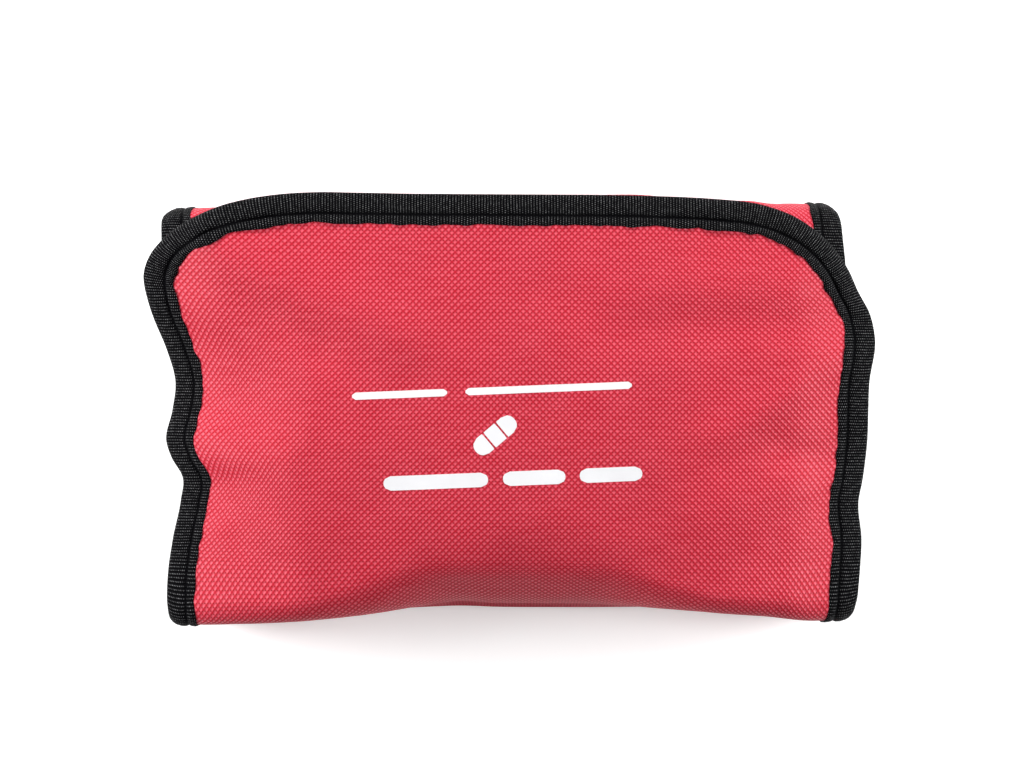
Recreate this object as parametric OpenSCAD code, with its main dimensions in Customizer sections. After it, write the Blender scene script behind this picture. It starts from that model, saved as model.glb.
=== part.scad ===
// Fold-up first aid kit: a bound fabric pouch in three panels, with its closure, pockets and contents.
// The pouch lies on its back: X runs along the folds, Y from the bottom fold to the top fold, Z out of the
// front flap. The origin is at the centre of the footprint, on the surface that the pouch lies on.

/* [Pouch] */
// Width across the side bindings
pouch_w = 228; // [226:1:280]
// Folded height, from the bottom fold to the top fold
pouch_h = 138; // [136:1:170]
// Folded thickness at the crown of the front flap
pouch_t = 50; // [50:0.5:62]
// Length of the inner flap, from the top fold to its free edge
inner_flap_l = 67.5; // [64:0.5:68]
// How far the front flap's free edge stops short of the top fold
flap_reveal = 2; // [1:0.5:6]
// Radius of the rounded corners at both ends of the strip
corner_r = 36; // [20:1:44]
// How far the front flap rolls down at its sides
edge_drop = 10; // [6:0.5:12]
// Width of each side strip in which the front flap rolls down
edge_roll_w = 26; // [20:1:32]

/* [Fabric] */
// Thickness of the outer fabric
fabric_t = 0.8; // [0.6:0.1:1]
// Thickness of the lining
lining_t = 0.4; // [0.2:0.1:0.5]
// Thickness of the binding tape
tape_t = 0.5; // [0.4:0.1:0.8]
// Width of binding tape that shows on each face
tape_w = 9.5; // [8:0.5:12]
// Clearance between panels at a fold
fold_gap = 0.3; // [0.2:0.1:0.5]

/* [Closure] */
// Length of the hook and loop strips
strip_l = 80; // [60:1:120]
// Width of the hook and loop strips
strip_w = 20; // [16:1:24]
// Gap between the flap's bound edge and the hook strip
strip_gap = 1.5; // [0.5:0.5:6]
// Thickness of the hook strip
hook_t = 2.2; // [1.6:0.1:2.6]
// Thickness of the loop strip
loop_t = 2.5; // [1.8:0.1:3]

/* [Back pocket] */
// Gap between the back panel's side binding and the clear pocket
pocket_gap = 4.5; // [3:0.5:4.5]
// Height of the clear pocket on the back panel
pocket_h = 124; // [122:1:126]
// Height of the pocket's face above the table
pocket_top = 30; // [30:0.5:30.5]
// Thickness of clear sheet
vinyl_t = 0.5; // [0.3:0.1:0.6]
// Thickness of the gusset wall
gusset_t = 0.8; // [0.6:0.1:1.2]
// Width of the tape frame round the pocket's face
frame_w = 8; // [6:0.5:10]
// Distance of the zip from the middle of the pouch
zip_y = -7; // [-9:0.5:-6]
// Width of the gap in the clear sheet under the zip
zip_slot_w = 14; // [12:0.5:16]
// Overlap of zip tape on clear sheet
zip_lap = 4; // [3:0.5:5]
// Width of the closed zip coil
coil_w = 4; // [3:0.5:5]
// Height of the zip coil
coil_t = 1.5; // [1.2:0.1:2]
// Length of the zip slider
slider_l = 9; // [8:0.5:12]
// Length of the zip pull from its pivot
pull_l = 13; // [10:0.5:13]
// Clearance between slider and zip
slider_gap = 0.3; // [0.2:0.05:0.4]

/* [Flap pocket] */
// Width of the slip pocket inside the front flap
slip_w = 172; // [170:1:174]
// Depth of the slip pocket, from its mouth to its seam
slip_h = 42; // [40:1:44]
// Room inside the slip pocket
slip_room = 9.5; // [9:0.5:10]
// Distance from the bottom fold to the slip pocket's seam
slip_inset = 11; // [10:0.5:14]

/* [Scissors] */
// Length of the blades from the rivet
blade_l = 52; // [44:1:56]
// Thickness of each half
half_t = 1.6; // [1.2:0.1:1.8]
// Radius of the rivet's shank
rivet_r = 1.5; // [1.2:0.1:2]
// Running clearance round the rivet
rivet_gap = 0.05; // [0.03:0.01:0.1]
// Length of a finger bow
bow_l = 30; // [28:1:32]
// Width of a finger bow
bow_w = 20; // [18:1:21]
// Thickness of a finger bow's ring
bow_ring = 4; // [3:0.5:4.5]
// Depth of a finger bow
bow_t = 6; // [5:0.5:6]

/* [Tweezers] */
// Length of the tweezers
tweezers_l = 86; // [80:1:88]
// Thickness of an arm
arm_t = 1.2; // [0.8:0.1:1.4]
// Depth of an arm at its widest
arm_depth = 7; // [5:0.5:7]
// Half of the gap between the tips at rest
tip_gap = 3.4; // [2.5:0.1:4]

/* [Contents] */
// Diameter of the crepe bandage
crepe_d = 25; // [18:0.5:26]
// Length of the crepe bandage
crepe_l = 72; // [60:1:74]
// Diameter of the gauze rolls
gauze_d = 24; // [18:0.5:24.5]
// Length of the gauze rolls
gauze_l = 56; // [50:1:57]
// Outer diameter of the adhesive tape
roll_d = 43; // [36:1:43]
// Diameter of the spool's flanges
spool_d = 46; // [38:1:46]
// Diameter of the spool's core
core_d = 24; // [22:0.5:28]
// Bore of the spool
core_bore = 19; // [16:0.5:20]
// Height of the spool
spool_h = 14; // [12:0.5:16]

/* [Hidden] */

$fn = 48;
cut = 1;             // how far a cutter runs past what it cuts
lift = 0.2;          // seating clearance under and beside loose contents
wall_gap = 0.3;      // clearance between separate soft pieces

red = [0.80, 0.12, 0.17];
lining_red = [0.62, 0.10, 0.13];
black = [0.07, 0.07, 0.08];
clear = [0.85, 0.90, 0.95, 0.35];
steel = [0.72, 0.73, 0.75];
cream = [0.93, 0.89, 0.80];
white = [0.95, 0.95, 0.94];

panel_t = fabric_t + lining_t + 2 * tape_t;   // fabric and lining inside the folded tape
half_w = pouch_w / 2;
fold_y = pouch_h / 2;
flap_l = pouch_h - flap_reveal;

// Rear panel
rear_step_run = 3;                             // length over which the fabric steps down to the table
rear_step_x = half_w - tape_w - 0.5;
rear_inner_z = fabric_t + lining_t;            // inner face of the rear panel inside its bindings
rear_gap_z = panel_t + fold_gap;               // where the fold walls start

// Levels of the inner flap and the front flap, from the outside inwards
flap_lining_z = pouch_t - tape_t - fabric_t - lining_t;    // inner face of the front flap's lining
hook_z = flap_lining_z - hook_t;
loop_z = hook_z - wall_gap - loop_t;           // outer face of the inner flap's fabric
inner_z = loop_z + tape_t;                     // outer face of the inner flap's binding
inner_lining_z = loop_z - fabric_t - lining_t; // inner face of the inner flap's lining

// Crown of the front flap and the inner flap
crown_flat = half_w - edge_roll_w;
crown_steps = 8;
function smooth(t) = t <= 0 ? 0 : t >= 1 ? 1 : t * t * (3 - 2 * t);
function crown_drop(x) = edge_drop * smooth((abs(x) - crown_flat) / edge_roll_w);
crown_x = concat(
    [for (i = [0 : crown_steps]) -half_w + i * edge_roll_w / crown_steps],
    [for (i = [0 : crown_steps]) crown_flat + i * edge_roll_w / crown_steps]);

// Closure strips
strip_y1 = -fold_y + flap_l - tape_w - strip_gap;
strip_y0 = strip_y1 - strip_w;

// Back pocket
pocket_x = half_w - tape_w - pocket_gap;
pocket_w = 2 * pocket_x;
pocket_y = pocket_h / 2;
window_z = pocket_top - vinyl_t;               // underside of the clear sheet
zip_x = pocket_x - frame_w;                    // half the zip's length
tape_z = pocket_top;                           // underside of the zip tape
coil_z = tape_z + tape_t;
slider_x = zip_x - slider_l;                   // the slider's place when the pocket is shut
slider_wall = 0.8;
slider_top_z = coil_z + coil_t + slider_gap;
bail_w = 2;
bail_r = 0.85;
pull_pin_r = 0.8;
pull_z = slider_top_z + slider_wall + 1.3;     // height of the pull's pivot
pull_t = 1.2;
pull_w = 6;

// Slip pocket in the front flap
slip_x = slip_w / 2;
slip_y0 = -fold_y + slip_inset;
slip_y1 = slip_y0 + slip_h;
slip_floor_z = flap_lining_z - slip_room;      // inner face of the slip pocket's clear sheet

// Tools on the inner flap
tool_gap = 0.2;
bow_z = inner_lining_z - 0.7 - bow_t;
fixed_half_z = inner_lining_z - 1.9 - half_t;
moving_half_z = fixed_half_z - 0.1 - half_t;
rivet_head_t = 0.6;
rivet_head_r = 3.2;
pivot_x = -5;
half_boss_r = 5.5;
bow_x = 42;                                    // from the rivet to the centre of a bow
bow_y = bow_w / 2 + 1.5;
bow_strap_w = 6;
keeper_gap = 1.5;                              // from the inner flap's bound end to the first keeper
pivot_y = fold_y - inner_flap_l + tape_w + keeper_gap + bow_strap_w / 2 + bow_y;
tweezers_x = -80;
tweezers_y = fold_y - 15;
arm_z = inner_lining_z - 0.4 - arm_depth;
keeper_t = 0.8;

// ---------------------------------------------------------------- shared shapes

// A plate in the XY plane between two heights.
module slab(z0, z1) {
    translate([0, 0, z0]) linear_extrude(z1 - z0) children();
}

// A box from its lowest to its highest corner.
module block(low, high) {
    translate(low) cube([high[0] - low[0], high[1] - low[1], high[2] - low[2]]);
}

// Rectangle with four rounded corners, centred.
module rounded_rectangle(w, h, r) {
    square([w - 2 * r, h], center = true);
    square([w, h - 2 * r], center = true);
    for (x = [-1, 1], y = [-1, 1]) translate([x * (w / 2 - r), y * (h / 2 - r)]) circle(r = r);
}

// Outline of a flap: straight at its fold, rounded at its free end.
module flap_outline(w, l, r) {
    intersection() {
        translate([-w / 2, 0]) square([w, l]);
        union() {
            translate([-w / 2, -r]) square([w, l]);
            translate([-w / 2 + r, -r]) square([w - 2 * r, l + r]);
            for (s = [-1, 1]) translate([s * (w / 2 - r), l - r]) circle(r = r);
        }
    }
}

// An XZ section drawn from y0 to y1.
module along_y(y0, y1) {
    translate([0, y1, 0]) rotate([90, 0, 0]) linear_extrude(y1 - y0) children();
}

// A YZ section drawn from x0 to x1: the section's x is Y, and its y is Z.
module along_x(x0, x1) {
    translate([x0, 0, 0]) rotate([90, 0, 90]) linear_extrude(x1 - x0) children();
}

// Section of a layer that follows the crown of the front flap, with its top at z_top.
module crown_section(z_top, t) {
    polygon(concat(
        [for (x = crown_x) [x, z_top - crown_drop(x)]],
        [for (i = [len(crown_x) - 1 : -1 : 0]) [crown_x[i], z_top - t - crown_drop(crown_x[i])]]));
}

// A layer of the front flap, cut to the flap's outline with its edges drawn in by inset.
module flap_layer(z_top, t, inset) {
    intersection() {
        along_y(-fold_y - cut, fold_y + cut) crown_section(z_top, t);
        translate([0, -fold_y, 0]) slab(0, pouch_t + cut)
            flap_outline(pouch_w - 2 * inset, flap_l - inset, corner_r - inset);
    }
}

// A layer of the inner flap, which rolls down at its sides with the front flap above it.
module inner_layer(z_top, t, inset) {
    intersection() {
        along_y(-fold_y, fold_y + cut) crown_section(z_top, t);
        translate([0, fold_y, 0]) mirror([0, 1, 0]) slab(0, pouch_t)
            flap_outline(pouch_w - 2 * inset, inner_flap_l - inset, corner_r - inset);
    }
}

// Section of a rear panel layer: at the table in the middle, stepped up into the bindings.
module rear_section(z, t) {
    edge_x = half_w - tape_t;
    low_x = rear_step_x - rear_step_run;
    polygon([
        [-edge_x, z + tape_t], [-rear_step_x, z + tape_t], [-low_x, z],
        [low_x, z], [rear_step_x, z + tape_t], [edge_x, z + tape_t],
        [edge_x, z + tape_t + t], [rear_step_x, z + tape_t + t], [low_x, z + t],
        [-low_x, z + t], [-rear_step_x, z + tape_t + t], [-edge_x, z + tape_t + t]]);
}

// Section of a folded binding tape with its web at x = 0, its legs towards -x, and its outer face at y = 0.
module tape_section() {
    difference() {
        translate([-tape_w, 0]) square([tape_w, panel_t]);
        translate([-tape_w - cut, tape_t]) square([tape_w + cut - tape_t, panel_t - 2 * tape_t]);
    }
}

// ---------------------------------------------------------------- rear panel

module rear_outer_fabric() {
    color(red) along_y(-fold_y, fold_y) rear_section(0, fabric_t);
}

module rear_lining() {
    color(lining_red) along_y(-fold_y, fold_y) rear_section(fabric_t, lining_t);
}

module rear_edge_binding() {
    color(black) for (s = [0, 1]) mirror([s, 0, 0])
        along_y(-fold_y, fold_y) translate([half_w, 0]) tape_section();
}

// ---------------------------------------------------------------- fold walls

// Outline of a fold wall whose top edge follows the flap that it carries.
module wall_outline(flap_z, inset) {
    top = flap_z - panel_t - fold_gap;
    inner_x = [for (x = crown_x) if (abs(x) <= half_w - inset) x];
    xs = concat([-half_w + inset], inner_x, [half_w - inset]);
    points = [for (i = [0 : len(xs) - 1]) if (i == 0 || xs[i] > xs[i - 1]) xs[i]];
    polygon(concat(
        [[-half_w + inset, rear_gap_z]],
        [for (x = points) [x, top - crown_drop(x)]],
        [[half_w - inset, rear_gap_z]]));
}

// Folded tapes at the two ends of a fold wall that lies between y0 and y0 + panel_t.
module wall_binding(y0, flap_z) {
    difference() {
        along_y(y0, y0 + panel_t) wall_outline(flap_z, 0);
        along_y(y0 - cut, y0 + panel_t + cut)
            translate([-half_w + tape_w, 0]) square([pouch_w - 2 * tape_w, pouch_t]);
        along_y(y0 + tape_t, y0 + panel_t - tape_t)
            translate([-half_w + tape_t, 0]) square([pouch_w - 2 * tape_t, pouch_t]);
    }
}

module bottom_fold_fabric() {
    y = -fold_y + tape_t;
    color(red) along_y(y, y + fabric_t) wall_outline(pouch_t, tape_t);
}

module bottom_fold_lining() {
    y = -fold_y + tape_t + fabric_t;
    color(lining_red) along_y(y, y + lining_t) wall_outline(pouch_t, tape_t);
}

module bottom_fold_binding() {
    color(black) wall_binding(-fold_y, pouch_t);
}

module top_fold_fabric() {
    y = fold_y - tape_t - fabric_t;
    color(red) along_y(y, y + fabric_t) wall_outline(inner_z, tape_t);
}

module top_fold_lining() {
    y = fold_y - tape_t - fabric_t - lining_t;
    color(lining_red) along_y(y, y + lining_t) wall_outline(inner_z, tape_t);
}

module top_fold_binding() {
    color(black) wall_binding(fold_y - panel_t, inner_z);
}

// ---------------------------------------------------------------- front flap

module flap_outer_fabric() {
    color(red) flap_layer(pouch_t - tape_t, fabric_t, tape_t);
}

module flap_lining() {
    color(lining_red) flap_layer(pouch_t - tape_t - fabric_t, lining_t, tape_t);
}

module flap_binding() {
    color(black) difference() {
        flap_layer(pouch_t, panel_t, 0);
        flap_layer(pouch_t - tape_t, panel_t - 2 * tape_t, tape_t);
        translate([0, -fold_y - cut, 0]) slab(0, pouch_t + cut)
            flap_outline(pouch_w - 2 * tape_w, flap_l - tape_w + cut, corner_r - tape_w);
    }
}

module hook_strip() {
    color(black) slab(hook_z, flap_lining_z)
        translate([-strip_l / 2, strip_y0]) square([strip_l, strip_w]);
}

module loop_strip() {
    color(black) slab(loop_z, loop_z + loop_t)
        translate([-strip_l / 2, strip_y0]) square([strip_l, strip_w]);
}

module slip_pocket_window() {
    color(clear) block([-slip_x, slip_y0, slip_floor_z - vinyl_t], [slip_x, slip_y1, slip_floor_z]);
}

module slip_pocket_gusset() {
    color(black) difference() {
        block([-slip_x, slip_y0, slip_floor_z], [slip_x, slip_y1, flap_lining_z]);
        block([-slip_x + gusset_t, slip_y0 + gusset_t, slip_floor_z - cut],
            [slip_x - gusset_t, slip_y1 + cut, flap_lining_z + cut]);
    }
}

// ---------------------------------------------------------------- inner flap

module inner_flap_fabric() {
    color(red) inner_layer(loop_z, fabric_t, tape_t);
}

module inner_flap_lining() {
    color(lining_red) inner_layer(loop_z - fabric_t, lining_t, tape_t);
}

module inner_flap_binding() {
    color(black) difference() {
        inner_layer(inner_z, panel_t, 0);
        inner_layer(loop_z, fabric_t + lining_t, tape_t);
        translate([0, cut, 0]) translate([0, fold_y, 0]) mirror([0, 1, 0]) slab(0, pouch_t)
            flap_outline(pouch_w - 2 * tape_w, inner_flap_l - tape_w + cut, corner_r - tape_w);
    }
}

// ---------------------------------------------------------------- back pocket

module pocket_gusset() {
    color(black) difference() {
        slab(rear_inner_z, window_z) square([pocket_w, pocket_h], center = true);
        slab(rear_inner_z - cut, window_z + cut)
            square([pocket_w - 2 * gusset_t, pocket_h - 2 * gusset_t], center = true);
    }
}

module pocket_window() {
    color(clear) {
        block([-pocket_x, -pocket_y, window_z], [pocket_x, zip_y - zip_slot_w / 2, pocket_top]);
        block([-pocket_x, zip_y + zip_slot_w / 2, window_z], [pocket_x, pocket_y, pocket_top]);
    }
}

module pocket_frame_tape() {
    color(black) slab(tape_z, tape_z + tape_t) difference() {
        square([pocket_w, pocket_h], center = true);
        square([pocket_w - 2 * frame_w, pocket_h - 2 * frame_w], center = true);
    }
}

module pocket_zip_tape() {
    split = 0.2;
    reach = zip_slot_w / 2 + zip_lap;
    color(black) for (s = [-1, 1])
        slab(tape_z, tape_z + tape_t) translate([-zip_x, zip_y + (s > 0 ? split : -reach)])
            square([2 * zip_x, reach - split]);
}

module pocket_zip_coil() {
    row_r = coil_t / 2;
    color(black) difference() {
        block([-zip_x, zip_y - coil_w / 2, coil_z], [zip_x, zip_y + coil_w / 2, coil_z + coil_t]);
        block([-zip_x - cut, zip_y - 0.2, coil_z + row_r],
            [zip_x + cut, zip_y + 0.2, coil_z + coil_t + cut]);
    }
}

module zip_slider() {
    inner_w = coil_w + 2 * slider_gap;
    outer_w = inner_w + 2 * slider_wall;
    color(steel) translate([slider_x, zip_y, 0]) difference() {
        union() {
            block([-slider_l / 2, -outer_w / 2, coil_z + slider_gap],
                [slider_l / 2, outer_w / 2, slider_top_z + slider_wall]);
            block([-bail_w, -bail_w / 2, slider_top_z + slider_wall - 0.1],
                [bail_w, bail_w / 2, pull_z + 1.5]);
        }
        block([-slider_l / 2 - cut, -inner_w / 2, coil_z - cut],
            [slider_l / 2 + cut, inner_w / 2, slider_top_z]);
        translate([0, 0, pull_z])
            rotate([90, 0, 0]) cylinder(r = bail_r, h = bail_w + 2 * cut, center = true);
    }
}

module zip_pull() {
    arm_gap = 0.25;
    reach = 3.4;                                // from the pivot to the solid part of the pull
    color(steel) translate([slider_x, zip_y, pull_z]) {
        rotate([90, 0, 0]) cylinder(r = pull_pin_r, h = pull_w - 0.4, center = true);
        slab(-pull_t / 2, pull_t / 2) difference() {
            translate([-pull_l / 2, 0]) rounded_rectangle(pull_l, pull_w, 1.2);
            translate([-reach, -bail_w / 2 - arm_gap]) square([reach + cut, bail_w + 2 * arm_gap]);
            translate([-pull_l + 3, 0]) circle(r = 1.3);
        }
    }
}

// ---------------------------------------------------------------- contents of the back pocket

// A flat packet: a filled body with a crimped seal at each end of its length.
module packet(l, w, t, seal = 5) {
    slab(0, t) rounded_rectangle(l - 2 * seal, w, 4);
    for (s = [-1, 1]) block([s > 0 ? l / 2 - seal : -l / 2, -w / 2 + 1, t / 2 - 0.3],
        [s > 0 ? l / 2 : -l / 2 + seal, w / 2 - 1, t / 2 + 0.3]);
}

// A rolled bandage along X, standing on z = 0, with its wound core open at the ends.
module rolled_bandage(d, l) {
    core_r = 2.5;
    dimple = 1.5;
    translate([0, 0, d / 2]) rotate([0, 90, 0]) difference() {
        cylinder(d = d, h = l, center = true);
        for (s = [-1, 1]) translate([0, 0, s * l / 2]) cylinder(r = core_r, h = 2 * dimple, center = true);
    }
}

seat_z = rear_inner_z + lift;
crepe_x = -pocket_x + gusset_t + 2 + crepe_l / 2;
roll_row_y = pocket_y - gusset_t - 1 - crepe_d / 2;

module crepe_bandage() {
    color(cream) translate([crepe_x, roll_row_y, seat_z]) rolled_bandage(crepe_d, crepe_l);
}

module bandage_clips() {
    clip_l = 18;
    clip_w = 6;
    clip_t = 0.6;
    clip_z = seat_z + crepe_d + 0.1;
    color(steel) for (s = [-1, 1]) translate([crepe_x + s * crepe_l / 4, roll_row_y, clip_z]) {
        slab(0, clip_t) square([clip_l, clip_w], center = true);
        for (e = [-1, 1]) translate([e * (clip_l / 2 - 1), 0, 0])
            slab(0, 2 * clip_t) square([2, clip_w], center = true);
    }
}

module gauze_rolls() {
    gap = 1;
    first_x = crepe_x + crepe_l / 2 + gap + gauze_l / 2;
    row_y = pocket_y - gusset_t - 1 - gauze_d / 2;
    stand_x = pocket_x - gusset_t - 2 - gauze_d / 2;
    stand_y = -pocket_y + gusset_t + 1 + gauze_l / 2;
    color(white) {
        for (i = [0, 1]) translate([first_x + i * (gauze_l + gap), row_y, seat_z])
            rolled_bandage(gauze_d, gauze_l);
        for (i = [0, 1]) translate([stand_x - i * (gauze_d + gap), stand_y, seat_z])
            rotate([0, 0, 90]) rolled_bandage(gauze_d, gauze_l);
    }
}

spool_x = -pocket_x + gusset_t + 3 + spool_d / 2;
spool_y = roll_row_y - crepe_d / 2 - 2 - spool_d / 2;
flange_t = 1;

module tape_spool() {
    color(white) translate([spool_x, spool_y, seat_z]) difference() {
        union() {
            cylinder(d = core_d, h = spool_h);
            cylinder(d = spool_d, h = flange_t);
            translate([0, 0, spool_h - flange_t]) cylinder(d = spool_d, h = flange_t);
        }
        translate([0, 0, -cut]) cylinder(d = core_bore, h = spool_h + 2 * cut);
    }
}

module adhesive_tape() {
    color(cream) translate([spool_x, spool_y, seat_z + flange_t + 0.1]) difference() {
        cylinder(d = roll_d, h = spool_h - 2 * flange_t - lift);
        translate([0, 0, -cut]) cylinder(d = core_d + 0.1, h = spool_h + 2 * cut);
    }
}

lower_l = 88;
lower_w = 40;
lower_x = -pocket_x + gusset_t + 3 + lower_l / 2;
lower_y = -pocket_y + gusset_t + 1 + lower_w / 2;
triangular_t = 13;

module triangular_bandage_pack() {
    color(white) translate([lower_x, lower_y, seat_z]) packet(lower_l, lower_w, triangular_t);
}

module foil_blanket_pack() {
    foil_t = 12;
    color(steel) translate([lower_x, lower_y, seat_z + triangular_t + lift])
        packet(lower_l - 4, lower_w - 3, foil_t);
}

module wound_dressing_packs() {
    dressing_l = 46;
    dressing_w = 40;
    dressing_t = 12;
    x = lower_x + lower_l / 2 + 3 + dressing_l / 2;
    y = -pocket_y + gusset_t + 1 + dressing_w / 2;
    color(white) for (i = [0, 1])
        translate([x, y, seat_z + i * (dressing_t + lift)]) packet(dressing_l, dressing_w, dressing_t);
}

swab_l = 74;
swab_w = 48;
swab_t = 2.6;
swab_count = 4;
swab_x = spool_x + spool_d / 2 + 3 + swab_l / 2;
swab_y = roll_row_y - crepe_d / 2 - 2 - swab_w / 2;

module gauze_swab_packs() {
    color(white) for (i = [0 : swab_count - 1])
        translate([swab_x, swab_y, seat_z + i * (swab_t + lift)]) packet(swab_l, swab_w, swab_t);
}

module glove_pack() {
    glove_t = 12;
    color([0.62, 0.78, 0.90]) translate([swab_x, swab_y, seat_z + swab_count * (swab_t + lift)])
        packet(swab_l - 4, swab_w - 3, glove_t);
}

shield_l = 58;
shield_w = 34;
shield_t = 14;
shield_x = swab_x + swab_l / 2 + 2 + shield_l / 2;
shield_y = roll_row_y - crepe_d / 2 - 2 - shield_w / 2;

module face_shield_pack() {
    color([0.80, 0.88, 0.92]) translate([shield_x, shield_y, seat_z])
        packet(shield_l, shield_w, shield_t);
}

// A closed safety pin lying in the XY plane, with its coil at the origin and its cap towards +X.
module safety_pin() {
    wire_r = 0.5;
    arm_y = 2.5;
    pin_l = 26;
    for (s = [-1, 1]) translate([0, s * arm_y, wire_r]) rotate([0, 90, 0]) cylinder(r = wire_r, h = pin_l);
    difference() {
        cylinder(r = arm_y + wire_r, h = 2 * wire_r);
        translate([0, 0, -cut]) cylinder(r = arm_y - wire_r, h = 2 * wire_r + 2 * cut);
        translate([0.5, -arm_y - cut, -cut]) cube([2 * arm_y, 2 * arm_y + 2 * cut, 2 * wire_r + 2 * cut]);
    }
    block([pin_l - 0.1, -arm_y - 1, 0], [pin_l + 5, arm_y + 1, 2.2]);
}

module safety_pins() {
    pitch_y = 8;
    color(steel) for (i = [0 : 3])
        translate([shield_x - 16, shield_y + (i - 1.5) * pitch_y, seat_z + shield_t + lift]) safety_pin();
}

// ---------------------------------------------------------------- contents of the slip pocket

slip_seat_z = slip_floor_z + lift;

module plaster_strips() {
    strip_len = 72;
    strip_wid = 30;
    layer_t = 2.2;
    count = 3;
    strip_x = -slip_x + gusset_t + 2 + strip_len / 2;
    strip_y = slip_y0 + gusset_t + 1 + strip_wid / 2;
    color(cream) for (i = [0 : count - 1]) translate([strip_x, strip_y, slip_seat_z + i * (layer_t + lift)])
        slab(0, layer_t) rounded_rectangle(strip_len, strip_wid, 1.5);
}

module antiseptic_wipes() {
    wipe = 30;
    layer_t = 2.2;
    color([0.72, 0.84, 0.92]) for (i = [0 : 2], k = [0, 1])
        translate([slip_x - gusset_t - 2 - wipe / 2 - k * (wipe + 2), slip_y0 + gusset_t + 1 + wipe / 2,
            slip_seat_z + i * (layer_t + lift)]) slab(0, layer_t) square(wipe, center = true);
}

module guide_leaflet() {
    leaf_w = 22;
    color(white) slab(slip_seat_z, slip_seat_z + 2)
        translate([slip_x - gusset_t - 2 - 64 - leaf_w / 2 + 1, slip_y0 + gusset_t + 16])
            square([leaf_w - 4, 30], center = true);
}

// ---------------------------------------------------------------- tools on the inner flap

// One scissor half as a flat plate. s = 1 has its handle towards +Y.
module half_plate(s, z) {
    shank_x = bow_x - bow_l / 2 + bow_ring;
    blade = [
        [0, -s * 5], [-blade_l * 0.27, -s * 5], [-blade_l * 0.92, -s * 1.6], [-blade_l, s * 0.5],
        [-blade_l * 0.96, s * 0.8], [0, s * 1.5]];
    shank = [
        [-3, -s * 3], [4, -s * 4], [shank_x, s * (bow_y - 4.5)], [shank_x, s * (bow_y + 1)], [2, s * 5]];
    slab(z, z + half_t) circle(r = half_boss_r);
    slab(z, z + half_t) polygon(blade);
    slab(z, z + half_t) polygon(shank);
}

module scissors_half(s, z, hole_r) {
    translate([pivot_x, pivot_y, 0]) difference() {
        union() {
            half_plate(s, z);
        }
        translate([0, 0, z - cut]) cylinder(r = hole_r, h = half_t + 2 * cut);
    }
}

// A stadium, as two half circles and a square.
module stadium(l, w) {
    square([l - w, w], center = true);
    for (s = [-1, 1]) translate([s * (l - w) / 2, 0]) circle(d = w);
}

module scissors_bow(s, z) {
    translate([pivot_x, pivot_y, 0]) difference() {
        slab(bow_z, bow_z + bow_t) translate([bow_x, s * bow_y]) difference() {
            stadium(bow_l, bow_w);
            stadium(bow_l - 2 * bow_ring, bow_w - 2 * bow_ring);
        }
        half_plate(s, z);
    }
}

module scissors_fixed_half() {
    color(steel) scissors_half(-1, fixed_half_z, rivet_r + rivet_gap);
}

module scissors_moving_half() {
    color(steel) scissors_half(1, moving_half_z, rivet_r + rivet_gap);
}

module scissors_fixed_bow() {
    color(black) scissors_bow(-1, fixed_half_z);
}

module scissors_moving_bow() {
    color(black) scissors_bow(1, moving_half_z);
}

module scissors_rivet() {
    low = moving_half_z - 0.1 - rivet_head_t;
    high = fixed_half_z + half_t + 0.1;
    color(steel) translate([pivot_x, pivot_y, 0]) {
        translate([0, 0, low]) cylinder(r = rivet_head_r, h = rivet_head_t);
        translate([0, 0, low]) cylinder(r = rivet_r, h = high + rivet_head_t - low);
        translate([0, 0, high]) cylinder(r = rivet_head_r, h = rivet_head_t);
    }
}

// Section of an elastic strap sewn to the lining on both sides of what it holds, between a and b.
module keeper_section(a, b, low) {
    flange = 4;
    top = inner_lining_z;
    translate([a - keeper_t, low - keeper_t]) square([b - a + 2 * keeper_t, keeper_t]);
    for (edge = [a - keeper_t, b]) translate([edge, low - keeper_t])
        square([keeper_t, top - low + keeper_t]);
    for (edge = [a - keeper_t - flange, b]) translate([edge, top - keeper_t])
        square([flange + keeper_t, keeper_t]);
}

module scissors_keepers() {
    pivot_half_w = 10.5;
    pivot_strap_w = 8;
    pivot_strap_z = moving_half_z - rivet_head_t - 0.5;
    bow_end_x = pivot_x + bow_x + bow_l / 2;
    hole_r = bow_w / 2 - bow_ring;
    hole_end_x = bow_end_x - bow_ring - hole_r + sqrt(hole_r * hole_r - bow_strap_w * bow_strap_w / 4);
    color(black) {
        along_x(pivot_x - pivot_strap_w / 2, pivot_x + pivot_strap_w / 2)
            keeper_section(pivot_y - pivot_half_w, pivot_y + pivot_half_w, pivot_strap_z);
        along_y(pivot_y - bow_y - bow_strap_w / 2, pivot_y - bow_y + bow_strap_w / 2)
            keeper_section(hole_end_x - wall_gap, bow_end_x + wall_gap, bow_z - wall_gap);
    }
}

tweezers_land = 8;                              // length of the weld at the tail
arm_rest_y = 0.05;                              // from the middle plane to an arm's inner face at the weld
arm_belly_x = tweezers_l * 0.58;
arm_belly_y = tip_gap + 0.6;

// Outline of the +Y arm from the weld to the tip.
module arm_outline(x0) {
    polygon([
        [x0, arm_rest_y], [arm_belly_x, arm_belly_y], [tweezers_l, tip_gap],
        [tweezers_l, tip_gap + arm_t * 0.6], [arm_belly_x, arm_belly_y + arm_t], [x0, arm_rest_y + arm_t]]);
}

// Side view of an arm, in X and Z, tapering to the tip.
module arm_side() {
    tip_depth = 2;
    polygon([
        [-cut, 0], [tweezers_l * 0.5, 0], [tweezers_l + cut, (arm_depth - tip_depth) / 2],
        [tweezers_l + cut, (arm_depth + tip_depth) / 2], [tweezers_l * 0.5, arm_depth], [-cut, arm_depth]]);
}

module tweezers_arm(x0) {
    translate([tweezers_x, tweezers_y, arm_z]) intersection() {
        slab(0, arm_depth) arm_outline(x0);
        along_y(-cut, 3 * tip_gap) arm_side();
    }
}

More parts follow.
